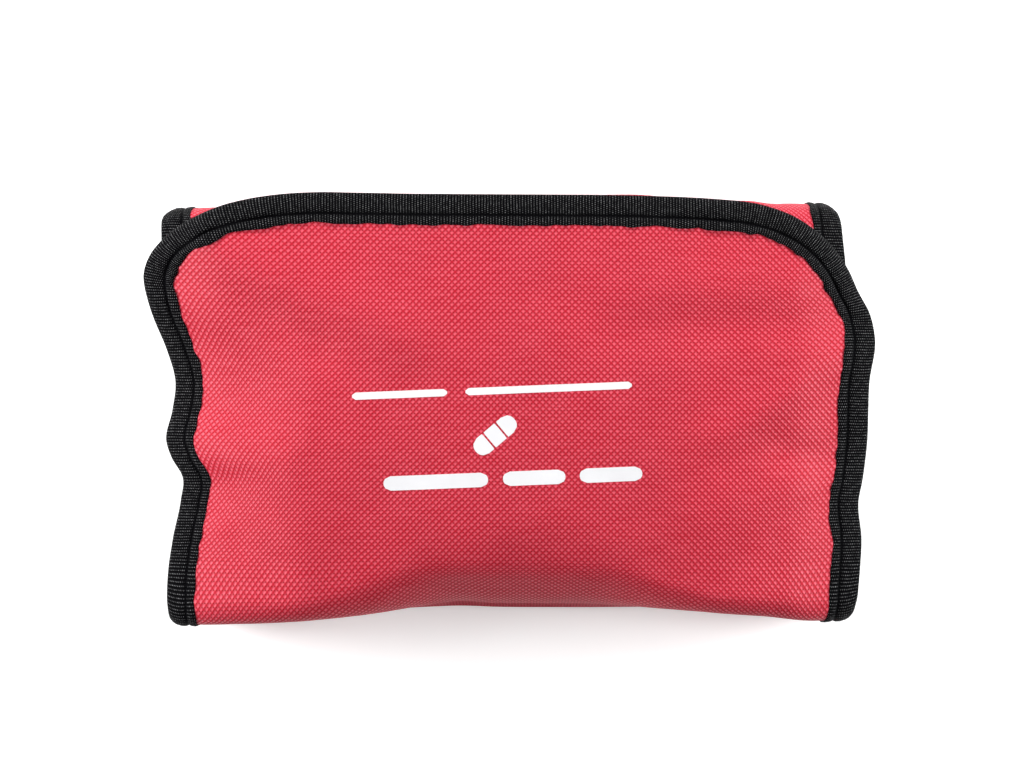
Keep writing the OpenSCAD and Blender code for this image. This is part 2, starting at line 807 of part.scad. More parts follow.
module tweezers_moving_arm() {
    color(steel) tweezers_arm(tweezers_land + 0.1);
}

module tweezers_fixed_arm() {
    color(steel) {
        translate([0, 2 * tweezers_y, 0]) mirror([0, 1, 0]) tweezers_arm(tweezers_land - 0.1);
        translate([tweezers_x, tweezers_y, arm_z]) slab(0, arm_depth)
            translate([0, -arm_rest_y - arm_t]) square([tweezers_land, 2 * (arm_rest_y + arm_t)]);
    }
}

module tweezers_keeper() {
    strap_w = 10;
    side = tip_gap + arm_t + 1;
    color(black) along_x(tweezers_x + tweezers_land + 20, tweezers_x + tweezers_land + 20 + strap_w)
        keeper_section(tweezers_y - side, tweezers_y + side, arm_z - wall_gap);
}

// ---------------------------------------------------------------- the whole kit

rear_outer_fabric();
rear_lining();
rear_edge_binding();
pocket_gusset();
pocket_window();
pocket_frame_tape();
pocket_zip_tape();
pocket_zip_coil();
zip_slider();
zip_pull();
crepe_bandage();
bandage_clips();
gauze_rolls();
tape_spool();
adhesive_tape();
triangular_bandage_pack();
foil_blanket_pack();
gauze_swab_packs();
glove_pack();
wound_dressing_packs();
face_shield_pack();
safety_pins();
bottom_fold_fabric();
bottom_fold_lining();
bottom_fold_binding();
flap_outer_fabric();
flap_lining();
flap_binding();
hook_strip();
slip_pocket_window();
slip_pocket_gusset();
plaster_strips();
antiseptic_wipes();
guide_leaflet();
top_fold_fabric();
top_fold_lining();
top_fold_binding();
inner_flap_fabric();
inner_flap_lining();
inner_flap_binding();
loop_strip();
scissors_keepers();
tweezers_keeper();
scissors_fixed_half();
scissors_fixed_bow();
scissors_rivet();
scissors_moving_half();
scissors_moving_bow();
tweezers_fixed_arm();
tweezers_moving_arm();
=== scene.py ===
"""Looks of the fold-up first aid kit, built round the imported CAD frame.

The pouch is one long strip of cloth, from the front flap's free edge round the bottom fold, the back
panel and the top fold to the inner flap's free edge. A place on it is (x, v): x across the strip, and v
along it from the front flap's free edge. Both are in millimetres, and so is everything else here until a
mesh is made, in metres.
"""
import math

import bmesh
import bpy
import numpy as np
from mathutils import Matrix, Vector, noise


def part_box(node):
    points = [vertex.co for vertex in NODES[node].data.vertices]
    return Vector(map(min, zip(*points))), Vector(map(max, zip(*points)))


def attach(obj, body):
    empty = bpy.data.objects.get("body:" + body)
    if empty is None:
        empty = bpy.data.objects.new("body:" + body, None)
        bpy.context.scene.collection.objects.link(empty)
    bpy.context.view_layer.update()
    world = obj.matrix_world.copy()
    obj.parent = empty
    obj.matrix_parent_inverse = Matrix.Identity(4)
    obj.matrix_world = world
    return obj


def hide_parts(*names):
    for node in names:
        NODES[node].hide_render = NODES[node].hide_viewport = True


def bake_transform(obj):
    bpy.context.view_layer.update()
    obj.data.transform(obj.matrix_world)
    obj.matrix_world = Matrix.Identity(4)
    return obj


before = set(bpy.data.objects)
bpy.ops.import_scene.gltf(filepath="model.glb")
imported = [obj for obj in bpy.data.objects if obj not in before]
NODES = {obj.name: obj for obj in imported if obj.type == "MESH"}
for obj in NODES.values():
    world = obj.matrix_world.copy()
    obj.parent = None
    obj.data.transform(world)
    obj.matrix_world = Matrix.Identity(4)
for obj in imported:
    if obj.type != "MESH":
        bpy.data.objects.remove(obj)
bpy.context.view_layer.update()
MM = 0.001


# ---------------- sizes, from the frame

def corners(node):
    """Lowest and highest corner of a CAD node, in millimetres."""
    low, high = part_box(node)
    return [c / MM for c in low], [c / MM for c in high]


HALF_W, FLAP_END, FLAP_TOP = corners("flap_binding")[1]
FOLD_Y = corners("rear_edge_binding")[1][1]
INNER_END = corners("inner_flap_binding")[0][1]
INNER_TOP = corners("inner_flap_binding")[1][2]
ZIP_Y = (corners("pocket_zip_coil")[0][1] + corners("pocket_zip_coil")[1][1]) / 2
CLOTH_T = 0.8           # outer fabric
LINING_T = 0.4
TAPE_T = 0.5
ROLL_W = 26             # side strip in which the flaps roll down
SIDE_DROP = 10          # how far they roll down
UV_UNIT = 10            # millimetres in one unit of a (u, v) layer
QUARTER = math.pi / 2


# ---------------- curves

def smooth(t):
    t = np.clip(t, 0, 1)
    return t * t * (3 - 2 * t)


def rise(value, start, run):
    """0 up to start, 1 from start + run on, and smooth between."""
    return smooth((value - start) / run)


def through(points):
    """Smooth curve through given knots, level beyond its ends."""
    px, py = np.array(points, float).T
    slope = np.gradient(py, px)

    def curve(x):
        x = np.clip(np.asarray(x, float), px[0], px[-1])
        i = np.clip(np.searchsorted(px, x) - 1, 0, len(px) - 2)
        step = px[i + 1] - px[i]
        t = (x - px[i]) / step
        return ((1 + 2 * t) * (1 - t) ** 2 * py[i] + t * (1 - t) ** 2 * step * slope[i]
                + t * t * (3 - 2 * t) * py[i + 1] + t * t * (t - 1) * step * slope[i + 1])
    return curve


def waves(x, y, size, seed, detail=2):
    """Smooth noise between -1 and 1 with features of the given size."""
    x, y = np.broadcast_arrays(np.asarray(x, float), np.asarray(y, float))
    flat = [noise.fractal(Vector((a / size, b / size, seed)), 1.0, 2.0, detail)
            for a, b in zip(x.ravel(), y.ravel())]
    return np.array(flat).reshape(x.shape)


def run_length(points):
    """Distance of each point along a row of points."""
    return np.concatenate([[0], np.cumsum(np.linalg.norm(np.diff(points, axis=0), axis=1))])


def unit(vectors):
    return vectors / np.linalg.norm(vectors, axis=-1, keepdims=True)


# ---------------- the strip

R_FRONT = 20            # bend of the cloth from the front flap to the bottom fold's wall
R_REAR = 9              # bends at both ends of the back panel
R_INNER = 12            # bend from the top fold's wall to the inner flap
LOWER_SLOPE = 3.7       # how far the middle of the front flap slopes down toward the lower end
LOWER_ROLL = 6.0        # how far it rolls down further at that end
SIDE_SLOPE = 0.27       # steepness of both flaps beside the contents, on the left
HOLLOW = 3.0            # how far they sink on the lower right
ROUND_OFF = 2.2         # how far the folded ends are drawn in at their corners

# Stations along the strip, each named after what ends there
WALL_RUN = FLAP_TOP - R_FRONT - R_REAR
V_FRONT, V_BEND, V_WALL, V_REAR_BEND, V_REAR, V_TOP_BEND, V_TOP, V_INNER_BEND, V_END = np.cumsum([
    FLAP_END + FOLD_Y - R_FRONT, R_FRONT * QUARTER, WALL_RUN, R_REAR * QUARTER, 2 * (FOLD_Y - R_REAR),
    R_REAR * QUARTER, INNER_TOP - R_REAR - R_INNER, R_INNER * QUARTER, FOLD_Y - R_INNER - INNER_END])
V_BOTTOM_MID = V_BEND + 0.9 * WALL_RUN
V_REAR_MID = (V_REAR_BEND + V_REAR) / 2
V_TOP_MID = (V_TOP_BEND + V_TOP) / 2

# How far each side of the front flap stands out from the CAD width, by y
left_out = through([(-72, -3.4), (-56, -2.4), (-43, -4.3), (-30, -7.0), (-23, -7.6), (-17, -4.2), (-11, -2.2),
                    (-1, -4.1), (8, -5.1), (18, -2.5), (28, 1.3), (37, 3.6), (46, 4.4), (54, 3.9), (62, 3.4)])
right_out = through([(-72, -5.0), (-56, -2.7), (-43, -1.8), (-30, -2.8), (-24, -1.6), (-11, 0.0), (-1, 0.1),
                     (8, 0.4), (21, 2.0), (31, 0.4), (38, -1.2), (46, -0.8), (56, 0.0)])
# How far the free edge and the bottom fold stand out, by x
top_out = through([(-114, 0.9), (-60, 0.7), (-40, 0.3), (0, 0.0), (40, -0.4), (60, -1.2), (72, -2.1),
                   (114, -2.4)])
bottom_out = through([(-114, 2.4), (-104, 2.3), (-90, 1.8), (-70, 0.9), (-40, -1.0), (-26, -3.0), (-18, -4.2),
                      (-6, -3.2), (40, -2.6), (80, -1.4), (100, 0.6), (114, 0.8)])
# How far the top fold's wall is drawn in, by x: least where the opened scissors reach it
top_wall_in = through([(-114, 2.6), (-98, 2.6), (-80, 3.4), (-60, 2.8), (-20, 1.7), (20, 1.1), (44, 1.1),
                       (52, 2.6), (60, 3.8), (72, 4.6), (84, 3.9), (98, 2.8), (114, 2.6)])
# How far the back panel's sides stand out, by y
back_left_out = through([(-70, -2.8), (-50, -3.4), (-20, -3.4), (10, -2.4), (40, -1.4), (70, -0.8)])
back_right_out = through([(-70, -3.0), (-40, -2.5), (0, -2.5), (40, -6.0), (70, -9.0)])
# Left edge of the contents under the cloth, as x by y, and where the lower end starts to roll, as y by x
crest = through([(-75, -66), (-34, -66), (-18, -69), (-4, -63), (10, -63), (18, -67), (28, -79), (40, -100),
                 (46, -125)])
roll_from = through([(-114, -62), (-75, -61), (-45, -52), (-20, -38), (4, -31), (26, -38), (50, -53),
                     (75, -61), (114, -62)])

# Folds pressed into the front flap: from, to, height, half width
RIDGES = [
    ((-90, 50), (-34, 22), 1.6, 9),          # pleat from the upper left corner
    ((-104, 42), (-62, 18), -1.4, 6),        # valley under that pleat
    ((36, 24), (104, 27), -1.2, 7),          # valley, upper right
    ((48, 38), (96, 42), 0.9, 8),
    ((104, 13), (66, -9), 1.1, 6),
    ((98, -17), (88, -15), -0.9, 6),
    ((62, -34), (94, -30), 0.9, 11),
    ((-98, -28), (-80, -50), -1.1, 7),       # valley, lower left
    ((8, 36), (26, 30), -0.5, 6),
    ((-10, 60), (10, 20), 0.35, 14),
]


def ridges(x, y):
    h = np.zeros(np.broadcast(x, y).shape)
    for (x0, y0), (x1, y1), height, half in RIDGES:
        dx, dy = x1 - x0, y1 - y0
        length = math.hypot(dx, dy)
        t = ((x - x0) * dx + (y - y0) * dy) / length ** 2
        across = ((x - x0) * dy - (y - y0) * dx) / length
        beyond = np.maximum(np.maximum(-t, t - 1), 0) * length
        h = h + height * np.exp(-(across / half) ** 2 - (beyond / (1.3 * half)) ** 2)
    return h


def drop(x):
    """How far the cloth rolls down at each side."""
    return SIDE_DROP * rise(np.abs(x), HALF_W - ROLL_W, ROLL_W)


def quarter_turn(t, room, r):
    """Round corner of radius r with a flat on each side, where a corner of radius room would go: how far
    along the first direction and along the second, for t from 0 to 1."""
    flat = room - r
    along = t * (2 * flat + r * QUARTER)
    turned = np.clip((along - flat) / (r * QUARTER), 0, 1) * QUARTER
    past = np.maximum(along - flat - r * QUARTER, 0)
    return np.minimum(along, flat) + r * np.sin(turned), r * (1 - np.cos(turned)) + past


def folds(x, y):
    """Pressed folds, the slope toward the lower end and the roll there, on the front flap."""
    middle = 1 - rise(np.abs(x), 35, 50)
    slope = LOWER_SLOPE * middle * np.clip((34 - y) / 74, 0, 2) ** 2.1
    roll = LOWER_ROLL * np.clip((roll_from(x) - y) / 30, 0, 1.3) ** 2
    return ridges(x, y) - slope - roll + 0.9 * waves(x, y, 70, 1.5, 1) + 0.25 * waves(x, y, 18, 4.0)


def fall(x, y):
    """How far both flaps hang down beside the contents: a slope on the left, and the roll at each side."""
    past = np.maximum(crest(y) - x, 0)
    slope = SIDE_SLOPE * past ** 2 / (past + 5)
    hollow = HOLLOW * rise(20 - y, 0, 40) * rise(x, 56, 44)
    return np.sqrt((0.75 * drop(x)) ** 2 + slope ** 2) + hollow


def waver(x, y):
    """Small waves of the cloth near the sides."""
    return 0.8 * rise(np.abs(x), 62, 50) * waves(x * 0.3, y, 16, 21.0, 1)


def on_back(v):
    """1 on the back panel, which lies on the table, and 0 on the rest of the strip."""
    return rise(v, V_REAR_BEND - 12, 10) * (1 - rise(v, V_REAR + 2, 10))


def envelope(x, v, y_line, fade):
    """The y and z of the strip before its walls belly out. y_line is the y that its folds go by, and fade
    is 1 where they show in full."""
    hang = drop(x) + fade * (fall(x, y_line) - drop(x))
    top = FLAP_TOP - 0.5 - hang + fade * (folds(x, y_line) + waver(x, y_line))
    inner = INNER_TOP - 0.2 - hang + fade * (waver(x, y_line) + 0.2 * waves(x, y_line, 40, 31.0))
    y, z = np.zeros(x.shape), np.zeros(x.shape)

    def between(start, end):
        m = (v > start) & (v <= end)
        return m, (v[m] - start) / (end - start)

    m = v <= V_FRONT
    y[m], z[m] = FLAP_END - v[m], top[m]
    m, t = between(V_FRONT, V_BEND)
    r = R_FRONT - 12 * rise(np.abs(x[m]), 20, 50)           # rounder in the middle
    ahead, down = quarter_turn(t, R_FRONT, r)
    y[m], z[m] = R_FRONT - FOLD_Y - ahead, top[m] - down
    m, t = between(V_BEND, V_WALL)
    y[m], z[m] = -FOLD_Y, (top[m] - R_FRONT) * (1 - t) + R_REAR * t
    m, t = between(V_WALL, V_REAR_BEND)
    down, back = quarter_turn(t, R_REAR, R_REAR)
    y[m], z[m] = back - FOLD_Y, R_REAR - down
    m, t = between(V_REAR_BEND, V_REAR)
    y[m] = R_REAR - FOLD_Y + v[m] - V_REAR_BEND
    m, t = between(V_REAR, V_TOP_BEND)
    back, up = quarter_turn(t, R_REAR, R_REAR)
    y[m], z[m] = FOLD_Y - R_REAR + back, up
    m, t = between(V_TOP_BEND, V_TOP)
    y[m], z[m] = FOLD_Y, R_REAR * (1 - t) + (inner[m] - R_INNER) * t
    m, t = between(V_TOP, V_INNER_BEND)
    r = R_INNER - 9 * (1 - rise(np.abs(x[m]), 74, 20))      # sharper where the scissors' bow reaches into it
    up, ahead = quarter_turn(t, R_INNER, r)
    y[m], z[m] = FOLD_Y - ahead, inner[m] - R_INNER + up
    m = v > V_INNER_BEND
    y[m], z[m] = FOLD_Y - R_INNER - (v[m] - V_INNER_BEND), inner[m]
    return y, z


def strip(x, v):
    """Place of the cloth's outer envelope, in millimetres, for each (x, v)."""
    x, v = np.broadcast_arrays(np.asarray(x, float), np.asarray(v, float))
    t = np.clip((v - V_FRONT) / (V_BEND - V_FRONT), 0, 1)
    y_front = np.where(v < V_FRONT, FLAP_END - v, -FOLD_Y + R_FRONT * (1 - t) ** 1.5)
    y_line = np.where(v < V_WALL, y_front, np.minimum(FOLD_Y, FOLD_Y - R_INNER - (v - V_INNER_BEND)))
    y, z = envelope(x, v, y_line, np.where(v < V_WALL, 1, rise(v, V_TOP, 14)))

    # Walls that belly out, and the folded ends rounding off
    run = np.where(bottom_out(x) < 0, V_WALL - V_BEND + 12, WALL_RUN + 5)
    wall = rise(v, V_FRONT, 16) * (1 - rise(v, V_BEND, run))
    round_off = ROUND_OFF * np.clip((np.abs(x) - HALF_W + 5) / 5, 0, 1) ** 2
    y = y - wall * (bottom_out(x) + 0.8 * waves(x, v, 45, 7.0) - 0.6 * round_off)
    top_wall = rise(v, V_REAR, 15) * (1 - rise(v, V_TOP, 18))
    lean = 0.006 * (x + np.minimum(x, 0))
    y = y - top_wall * (top_wall_in(x) - lean + round_off + 0.5 * waves(x, v, 40, 11.0))

    # Sides and free edge of the front flap
    to_left, to_right = rise(-x, 62, 50), rise(x, 62, 50)
    front = 1 - rise(v, V_BEND, V_WALL - V_BEND)
    shift = (to_right * right_out(y_line) - to_left * left_out(y_line)) * front
    shift = shift + (to_right * back_right_out(y) - to_left * back_left_out(y)) * (1 - front)
    y = y + np.where(v < V_FRONT, top_out(x) * rise(y, 10, 50), 0)
    return np.stack([x + shift, y, z], -1)


def surface(x, v, inward=0.0):
    """Points of the strip, pushed in from the envelope, and the outward normals."""
    x, v = np.broadcast_arrays(np.asarray(x, float), np.asarray(v, float))
    near = 0.25
    across = strip(x + near, v) - strip(x - near, v)
    along = strip(x, v + near) - strip(x, v - near)
    n = unit(np.cross(along, across))
    return strip(x, v) - n * np.asarray(inward)[..., None], n


# ---------------- meshes

def make_mesh(name, points, faces, uv=None, uv_name="strip", materials=(), kinds=None):
    """Mesh object from points in millimetres, with a (u, v) per vertex and a kind of material per face."""
    mesh = bpy.data.meshes.new(name)
    mesh.from_pydata((np.asarray(points) * MM).tolist(), [], faces)
    if uv is not None:
        layer = mesh.uv_layers.new(name=uv_name)
        index = np.zeros(len(mesh.loops), int)
        mesh.loops.foreach_get("vertex_index", index)
        layer.data.foreach_set("uv", (np.asarray(uv, float) / UV_UNIT)[index].astype(np.float32).ravel())
    mesh.polygons.foreach_set("use_smooth", [True] * len(mesh.polygons))
    for material in materials:
        mesh.materials.append(material)
    if kinds is not None:
        mesh.polygons.foreach_set("material_index", kinds)
    mesh.set_sharp_from_angle(angle=math.radians(50))
    mesh.update()
    return linked(name, mesh)


def linked(name, data):
    """Object that shows the data, in the scene."""
    obj = bpy.data.objects.new(name, data)
    bpy.context.scene.collection.objects.link(obj)
    return obj


def quads(index, order):
    """Faces between neighbouring rows and columns of vertex numbers, with their corners in a given order."""
    around = [index[:-1, :-1], index[:-1, 1:], index[1:, 1:], index[1:, :-1]]
    return np.stack([around[i] for i in order], -1).reshape(-1, 4).tolist()


def slab_faces(rows, cols):
    """Faces of a closed slab: a top grid, a bottom grid and the wall round them."""
    n = rows * cols
    index = np.arange(n).reshape(rows, cols)
    rim = [*index[0], *index[1:, -1], *index[-1, -2::-1], *index[-2:0:-1, 0]]
    wall = [(b, a, a + n, b + n) for a, b in zip(rim, rim[1:] + rim[:1])]
    return quads(index, (0, 1, 2, 3)) + quads(index + n, (3, 2, 1, 0)) + wall


def loop_faces(rows, cols, ring=False):
    """Faces of a closed skin through section loops, joined end to end as a ring or capped."""
    index = np.arange(rows * cols).reshape(rows, cols)
    caps = [] if ring else [index[0].tolist(), index[-1, ::-1].tolist()]
    if ring:
        index = np.concatenate([index, index[:1]])
    return quads(np.concatenate([index, index[:, :1]], 1), (0, 3, 2, 1)) + caps


def grid_uv(along, around):
    """(u, v) of a skin's vertices, from the distances along it and round its section."""
    return np.stack(np.meshgrid(along, around, indexing="ij"), -1).reshape(-1, 2)


def rows_for(v0, v1, step):
    return np.linspace(v0, v1, max(3, int(round(abs(v1 - v0) / step)) + 1))


# Corners of the two free ends, left and right: reach along x, reach along v, fullness
CORNERS = {"front": ((58, 31, 2.32), (44, 40, 1.93)), "inner": ((36, 36, 2.0), (36, 36, 2.0))}
SHELL_STEP = 1.6
EDGE_IN = 1.2           # the cloth ends this far inside the tape's edge
FINE_RUN = 50           # stretch at a free end in which the shell's rows lie closer together


def drawn_in(distance, depth, reach, fullness):
    """How far a corner's edge has drawn in, at a distance from the end that it rounds off."""
    w = np.clip(distance / reach, 0, 1)
    return depth * (1 - (1 - (1 - w) ** fullness) ** (1 / fullness))


def shell_rows(v0, v1, free):
    """Places of a shell's rows along the strip."""
    fine = np.linspace(0, 1, 26)[:-1] ** 2 * FINE_RUN
    if free == "front":
        return np.concatenate([fine + EDGE_IN, rows_for(FINE_RUN + EDGE_IN, v1, SHELL_STEP)])
    if free == "inner":
        coarse = rows_for(v0, v1 - FINE_RUN - EDGE_IN, SHELL_STEP)
        return np.concatenate([coarse, v1 - EDGE_IN - fine[::-1]])
    return rows_for(v0, v1, SHELL_STEP)


def shell(name, v0, v1, free=None):
    """A closed skin of the strip from v0 to v1: fabric outside, lining inside."""
    v = shell_rows(v0, v1, free)
    cols = int(2 * HALF_W / SHELL_STEP) + 1
    left = np.full(len(v), EDGE_IN - HALF_W)
    right = -left
    if free:
        left_corner, right_corner = CORNERS[free]
        end = v - EDGE_IN if free == "front" else v1 - EDGE_IN - v
        left = left + drawn_in(end, *left_corner)
        right = right - drawn_in(end, *right_corner)
    x = left[:, None] + (right - left)[:, None] * (np.linspace(-1, 1, cols)[None] + 1) / 2
    vv = np.repeat(v[:, None], cols, 1)
    from_rim = np.minimum(x - left[:, None], right[:, None] - x)
    if free:
        rx, ry, fullness = np.moveaxis(np.where(x[..., None] < 0, left_corner, right_corner), -1, 0)
        from_end = np.maximum(end[:, None] - drawn_in(HALF_W - np.abs(x), ry, rx, fullness), 0.01)
        from_rim = from_rim * from_end / np.hypot(from_rim, from_end)
    under_tape = 1 - rise(from_rim, 6, 2)
    back = on_back(vv)
    step_in = TAPE_T * (1 - back * (1 - rise(np.abs(x), 98, 5))) + 0.3 * under_tape * (1 - back)
    outer, n = surface(x, vv, step_in)
    inner = outer - n * (CLOTH_T + LINING_T - 0.5 * under_tape)[..., None]
    points = np.concatenate([outer.reshape(-1, 3), inner.reshape(-1, 3)])
    uv = np.stack([x, vv], -1).reshape(-1, 2)
    faces = slab_faces(len(v), cols)
    side = (len(v) - 1) * (cols - 1)
    kinds = [0] * side + [1] * side + [0] * (len(faces) - 2 * side)
    cloths = [MAT["cloth"], MAT["lining"]]
    return make_mesh(name, points, faces, np.concatenate([uv, uv]), "strip", cloths, kinds)


def side_path(side, v0, v1):
    """The strip's edge as (x, v) along one side, -1 for left and 1 for right."""
    v = rows_for(v0, v1, 1.5)
    return np.stack([np.full(len(v), side * HALF_W), v], -1)


def end_path(free, first, v_side, v_end):
    """The strip's edge round a free end, from v_side on the first side to v_side on the other."""
    inward = 1 if v_side > v_end else -1

    def reach(side):
        rx, ry, fullness = CORNERS[free][side > 0]
        angle = np.linspace(0, 1, 46) * QUARTER
        a = rx * (1 - np.cos(angle) ** (2 / fullness))
        b = ry * (1 - np.sin(angle) ** (2 / fullness))
        corner = np.stack([side * (HALF_W - a), v_end + inward * b], -1)
        return side * (HALF_W - rx), v_end + inward * ry, corner

    x0, v0, corner_0 = reach(first)
    x1, v1, corner_1 = reach(-first)
    xs = rows_for(x0, x1, 1.5)
    across = np.stack([xs, np.full(len(xs), v_end)], -1)
    return np.concatenate([side_path(first, v_side, v0), corner_0[1:], across[1:], corner_1[::-1][1:],
                           side_path(-first, v1, v_side)[1:]])


def tape_section(seed, s, turn):
    """Section of the folded tape: distance in from the edge and height over the cloth's outer face, at each
    place s along it. Where turn is 1 it goes round a corner, and puckers on both sides of its groove."""
    groove = 6.2
    outer = [(9.35, 0.00), (9.45, 0.25), (9.1, 0.50), (8.3, 0.62), (7.4, 0.56), (6.75, 0.36),
             (groove + 0.15, 0.14), (groove - 0.15, 0.14), (5.7, 0.36), (5.0, 0.58), (3.6, 0.70), (2.0, 0.66),
             (0.8, 0.44), (-0.1, 0.02), (-0.5, -0.6)]
    inner = [(-0.1, -1.25), (0.8, -1.62), (2.0, -1.74), (4.0, -1.74), (5.6, -1.58), (groove, -1.34),
             (6.8, -1.58), (8.4, -1.68), (9.1, -1.62), (9.4, -1.42), (9.35, -1.2)]
    inside = [(5.0, -1.16), (0.9, -1.10), (0.7, -0.6), (0.9, -0.1), (5.0, -0.04)]
    section = np.array(outer + inner + inside)
    d = np.repeat(section[None, :, 0], len(s), 0)
    h = np.repeat(section[None, :, 1], len(s), 0)
    wobble = np.array([noise.noise(Vector((a / 9, seed, 0))) for a in s])[:, None]
    ripple = np.array([noise.noise(Vector((a / 3.5, seed, 5))) for a in s])[:, None]
    face = np.where(h > 0.2, 1, 0)
    near = rise(d, 6.8, 2)
    d = d + near * (0.9 * wobble + 0.5 * ripple) * (1 + 0.5 * turn)
    h = h + face * (0.22 * wobble + 0.35 * ripple * near) * rise(d, 0.5, 2)
    h = h + turn * np.where(h > 0.14, (0.9 + 0.5 * wobble) * (h - 0.14), 0)
    return d, h


def binding(name, path, seed):
    """Folded tape along a path of the strip's edge."""
    length = run_length(path)
    s = rows_for(0, length[-1], 1.3)
    path = np.stack([np.interp(s, length, path[:, 0]), np.interp(s, length, path[:, 1])], -1)
    tangent = unit(np.gradient(path, axis=0))
    edge_x, edge_v = path[:, 0, None], path[:, 1, None]
    in_x, in_v = -tangent[:, 1, None], tangent[:, 0, None]
    turn = smooth(np.minimum((np.abs(edge_x) - 44) / 20, (46 - edge_v) / 18))
    d, h = tape_section(seed, s, turn)
    x, v = edge_x + in_x * np.maximum(d, 0), edge_v + in_v * np.maximum(d, 0)
    p, n = surface(x, v, TAPE_T)
    rim = surface(edge_x, edge_v)[0]
    out = unit(rim - surface(edge_x + in_x * 0.5, edge_v + in_v * 0.5)[0])
    h = np.where((h > 0) & (on_back(v) > 0.2), np.minimum(h, 0.48), h)
    p = p + n * h[..., None] + out * np.maximum(-d, 0)[..., None]
    uv = grid_uv(s, run_length(np.stack([d[0], h[0]], -1)))
    return make_mesh(name, p.reshape(-1, 3), loop_faces(*p.shape[:2]), uv, materials=[MAT["tape"]])


# ---------------- materials

class Shader:
    """A material's node tree, with short calls for what the materials here need."""

    def __init__(self, name):
        self.material = bpy.data.materials.new(name)
        self.material.use_nodes = True
        self.tree = self.material.node_tree
        self.tree.nodes.clear()
        out = self.tree.nodes.new("ShaderNodeOutputMaterial")
        self.bsdf = self.tree.nodes.new("ShaderNodeBsdfPrincipled")
        self.link(self.bsdf.outputs[0], out.inputs["Surface"])

    def link(self, a, b):
        self.tree.links.new(a, b)

    def put(self, socket, value):
        if isinstance(value, bpy.types.NodeSocket):
            self.link(value, socket)
        elif isinstance(value, (tuple, list)) and len(value) == 3 and socket.type == "RGBA":
            socket.default_value = (*value, 1)
        else:
            socket.default_value = value

    def node(self, kind, **inputs):
        """New node with the given inputs, by their names with _ for a space."""
        node = self.tree.nodes.new("ShaderNode" + kind)
        for key, value in inputs.items():
            self.put(node.inputs[key.replace("_", " ")], value)
        return node

    def math(self, op, *values):
        node = self.node("Math")
        node.operation = op
        for socket, value in zip(node.inputs, values):
            self.put(socket, value)
        return node.outputs[0]

    def add(self, first, *others):
        for other in others:
            first = self.math("ADD", first, other)
        return first

    def mul(self, first, *others):
        for other in others:
            first = self.math("MULTIPLY", first, other)
        return first

    def abs(self, value):
        return self.math("ABSOLUTE", value)

    def sin(self, value):
        return self.math("SINE", value)

    def range(self, value, low, high, to_low=0.0, to_high=1.0):
        node = self.node("MapRange", Value=value, From_Min=low, From_Max=high, To_Min=to_low, To_Max=to_high)
        node.interpolation_type = "SMOOTHSTEP"
        return node.outputs[0]

    def mix(self, factor, a, b):
        node = self.node("Mix")
        node.data_type = "RGBA"
        for i, value in ((0, factor), (6, a), (7, b)):
            self.put(node.inputs[i], value)
        return node.outputs[2]

    def uv(self, name="strip"):
        """The piece's own (u, v) in millimetres."""
        node = self.node("UVMap")
        node.uv_map = name
        u, v, _ = self.split(node.outputs[0])
        return self.mul(u, UV_UNIT), self.mul(v, UV_UNIT)

    def place(self):
        """Object coordinates, in millimetres."""
        node = self.node("VectorMath")
        node.operation = "SCALE"
        self.put(node.inputs["Scale"], 1 / MM)
        self.link(self.node("TexCoord").outputs["Object"], node.inputs[0])
        return node.outputs[0]

    def join(self, x, y, z=0.0):
        return self.node("CombineXYZ", X=x, Y=y, Z=z).outputs[0]

    def split(self, vector):
        return self.node("SeparateXYZ", Vector=vector).outputs

    def noise(self, vector, size, detail=2.0, rough=0.5):
        """Noise from 0 to 1 with features of the given size in millimetres."""
        return self.node("TexNoise", Scale=1 / size, Detail=detail, Roughness=rough, Vector=vector).outputs[0]

    def sway(self, vector, size, detail, span):
        """Noise round 0, of the given span."""
        return self.mul(self.add(self.noise(vector, size, detail), -0.5), span)

    def bump(self, height, distance):
        node = self.node("Bump", Distance=distance * MM, Height=height)
        self.link(node.outputs[0], self.bsdf.inputs["Normal"])

    def set(self, **values):
        for key, value in values.items():
            self.put(self.bsdf.inputs[key.replace("_", " ")], value)


def woven(name, hole, weft, warp, pitch=1.03, rough=0.52, depth=0.16, gloss=0.28):
    """Plain weave of coated yarn: raised floats, with a painted highlight in the warp floats' lighter colour,
    and painted shade in the dark pinholes where four meet.
    """
    m = Shader(name)
    u, v = m.uv()
    where = m.join(u, v)
    sway = m.sway(where, 9, 1, 0.5)
    across = m.mul(m.add(u, sway), math.pi / pitch)
    along = m.mul(m.add(v, sway), math.pi / pitch)
    a, b = m.sin(across), m.sin(along)
    lean = m.mul(m.math("COSINE", across), m.math("COSINE", along))
    skew = m.range(m.add(u, m.sway(where, 45, 1, 200)), -60, 130, -0.3, 0.45)   # which diagonal shows more
    check = m.add(m.mul(a, b), m.mul(lean, skew))
    gap = m.mul(m.math("SUBTRACT", 1, m.abs(a)), m.math("SUBTRACT", 1, m.abs(b)))
    yarn = m.noise(m.join(m.mul(u, 0.10), m.mul(v, 1 / pitch)), 1.0, 1)
    grain = m.noise(where, 0.6, 2)
    uneven = m.mul(m.add(yarn, grain, -1.0), 0.8)
    painted_highlight = m.range(m.add(check, uneven, m.sway(where, 26, 3, 0.2)), -1.1, 1.3)
    # Painted highlight: the warp floats take the lighter warp colour.
    colour = m.mix(m.math("POWER", painted_highlight, 1.2), weft, warp)
    # Painted shade: the pinholes where four floats meet take the dark hole colour.
    colour = m.mix(m.range(gap, 0.12, 0.50), colour, hole)
    m.set(Base_Color=colour, Roughness=m.range(painted_highlight, 0, 1, rough + 0.14, rough - 0.04),
          Specular_IOR_Level=m.range(painted_highlight, 0.0, 1.0, 0.6 * gloss, gloss))
    dome = m.math("POWER", m.abs(check), 0.6)
    m.bump(m.add(m.mul(dome, 0.45), m.mul(check, 0.4), m.mul(grain, 0.2)), depth)
    return m.material


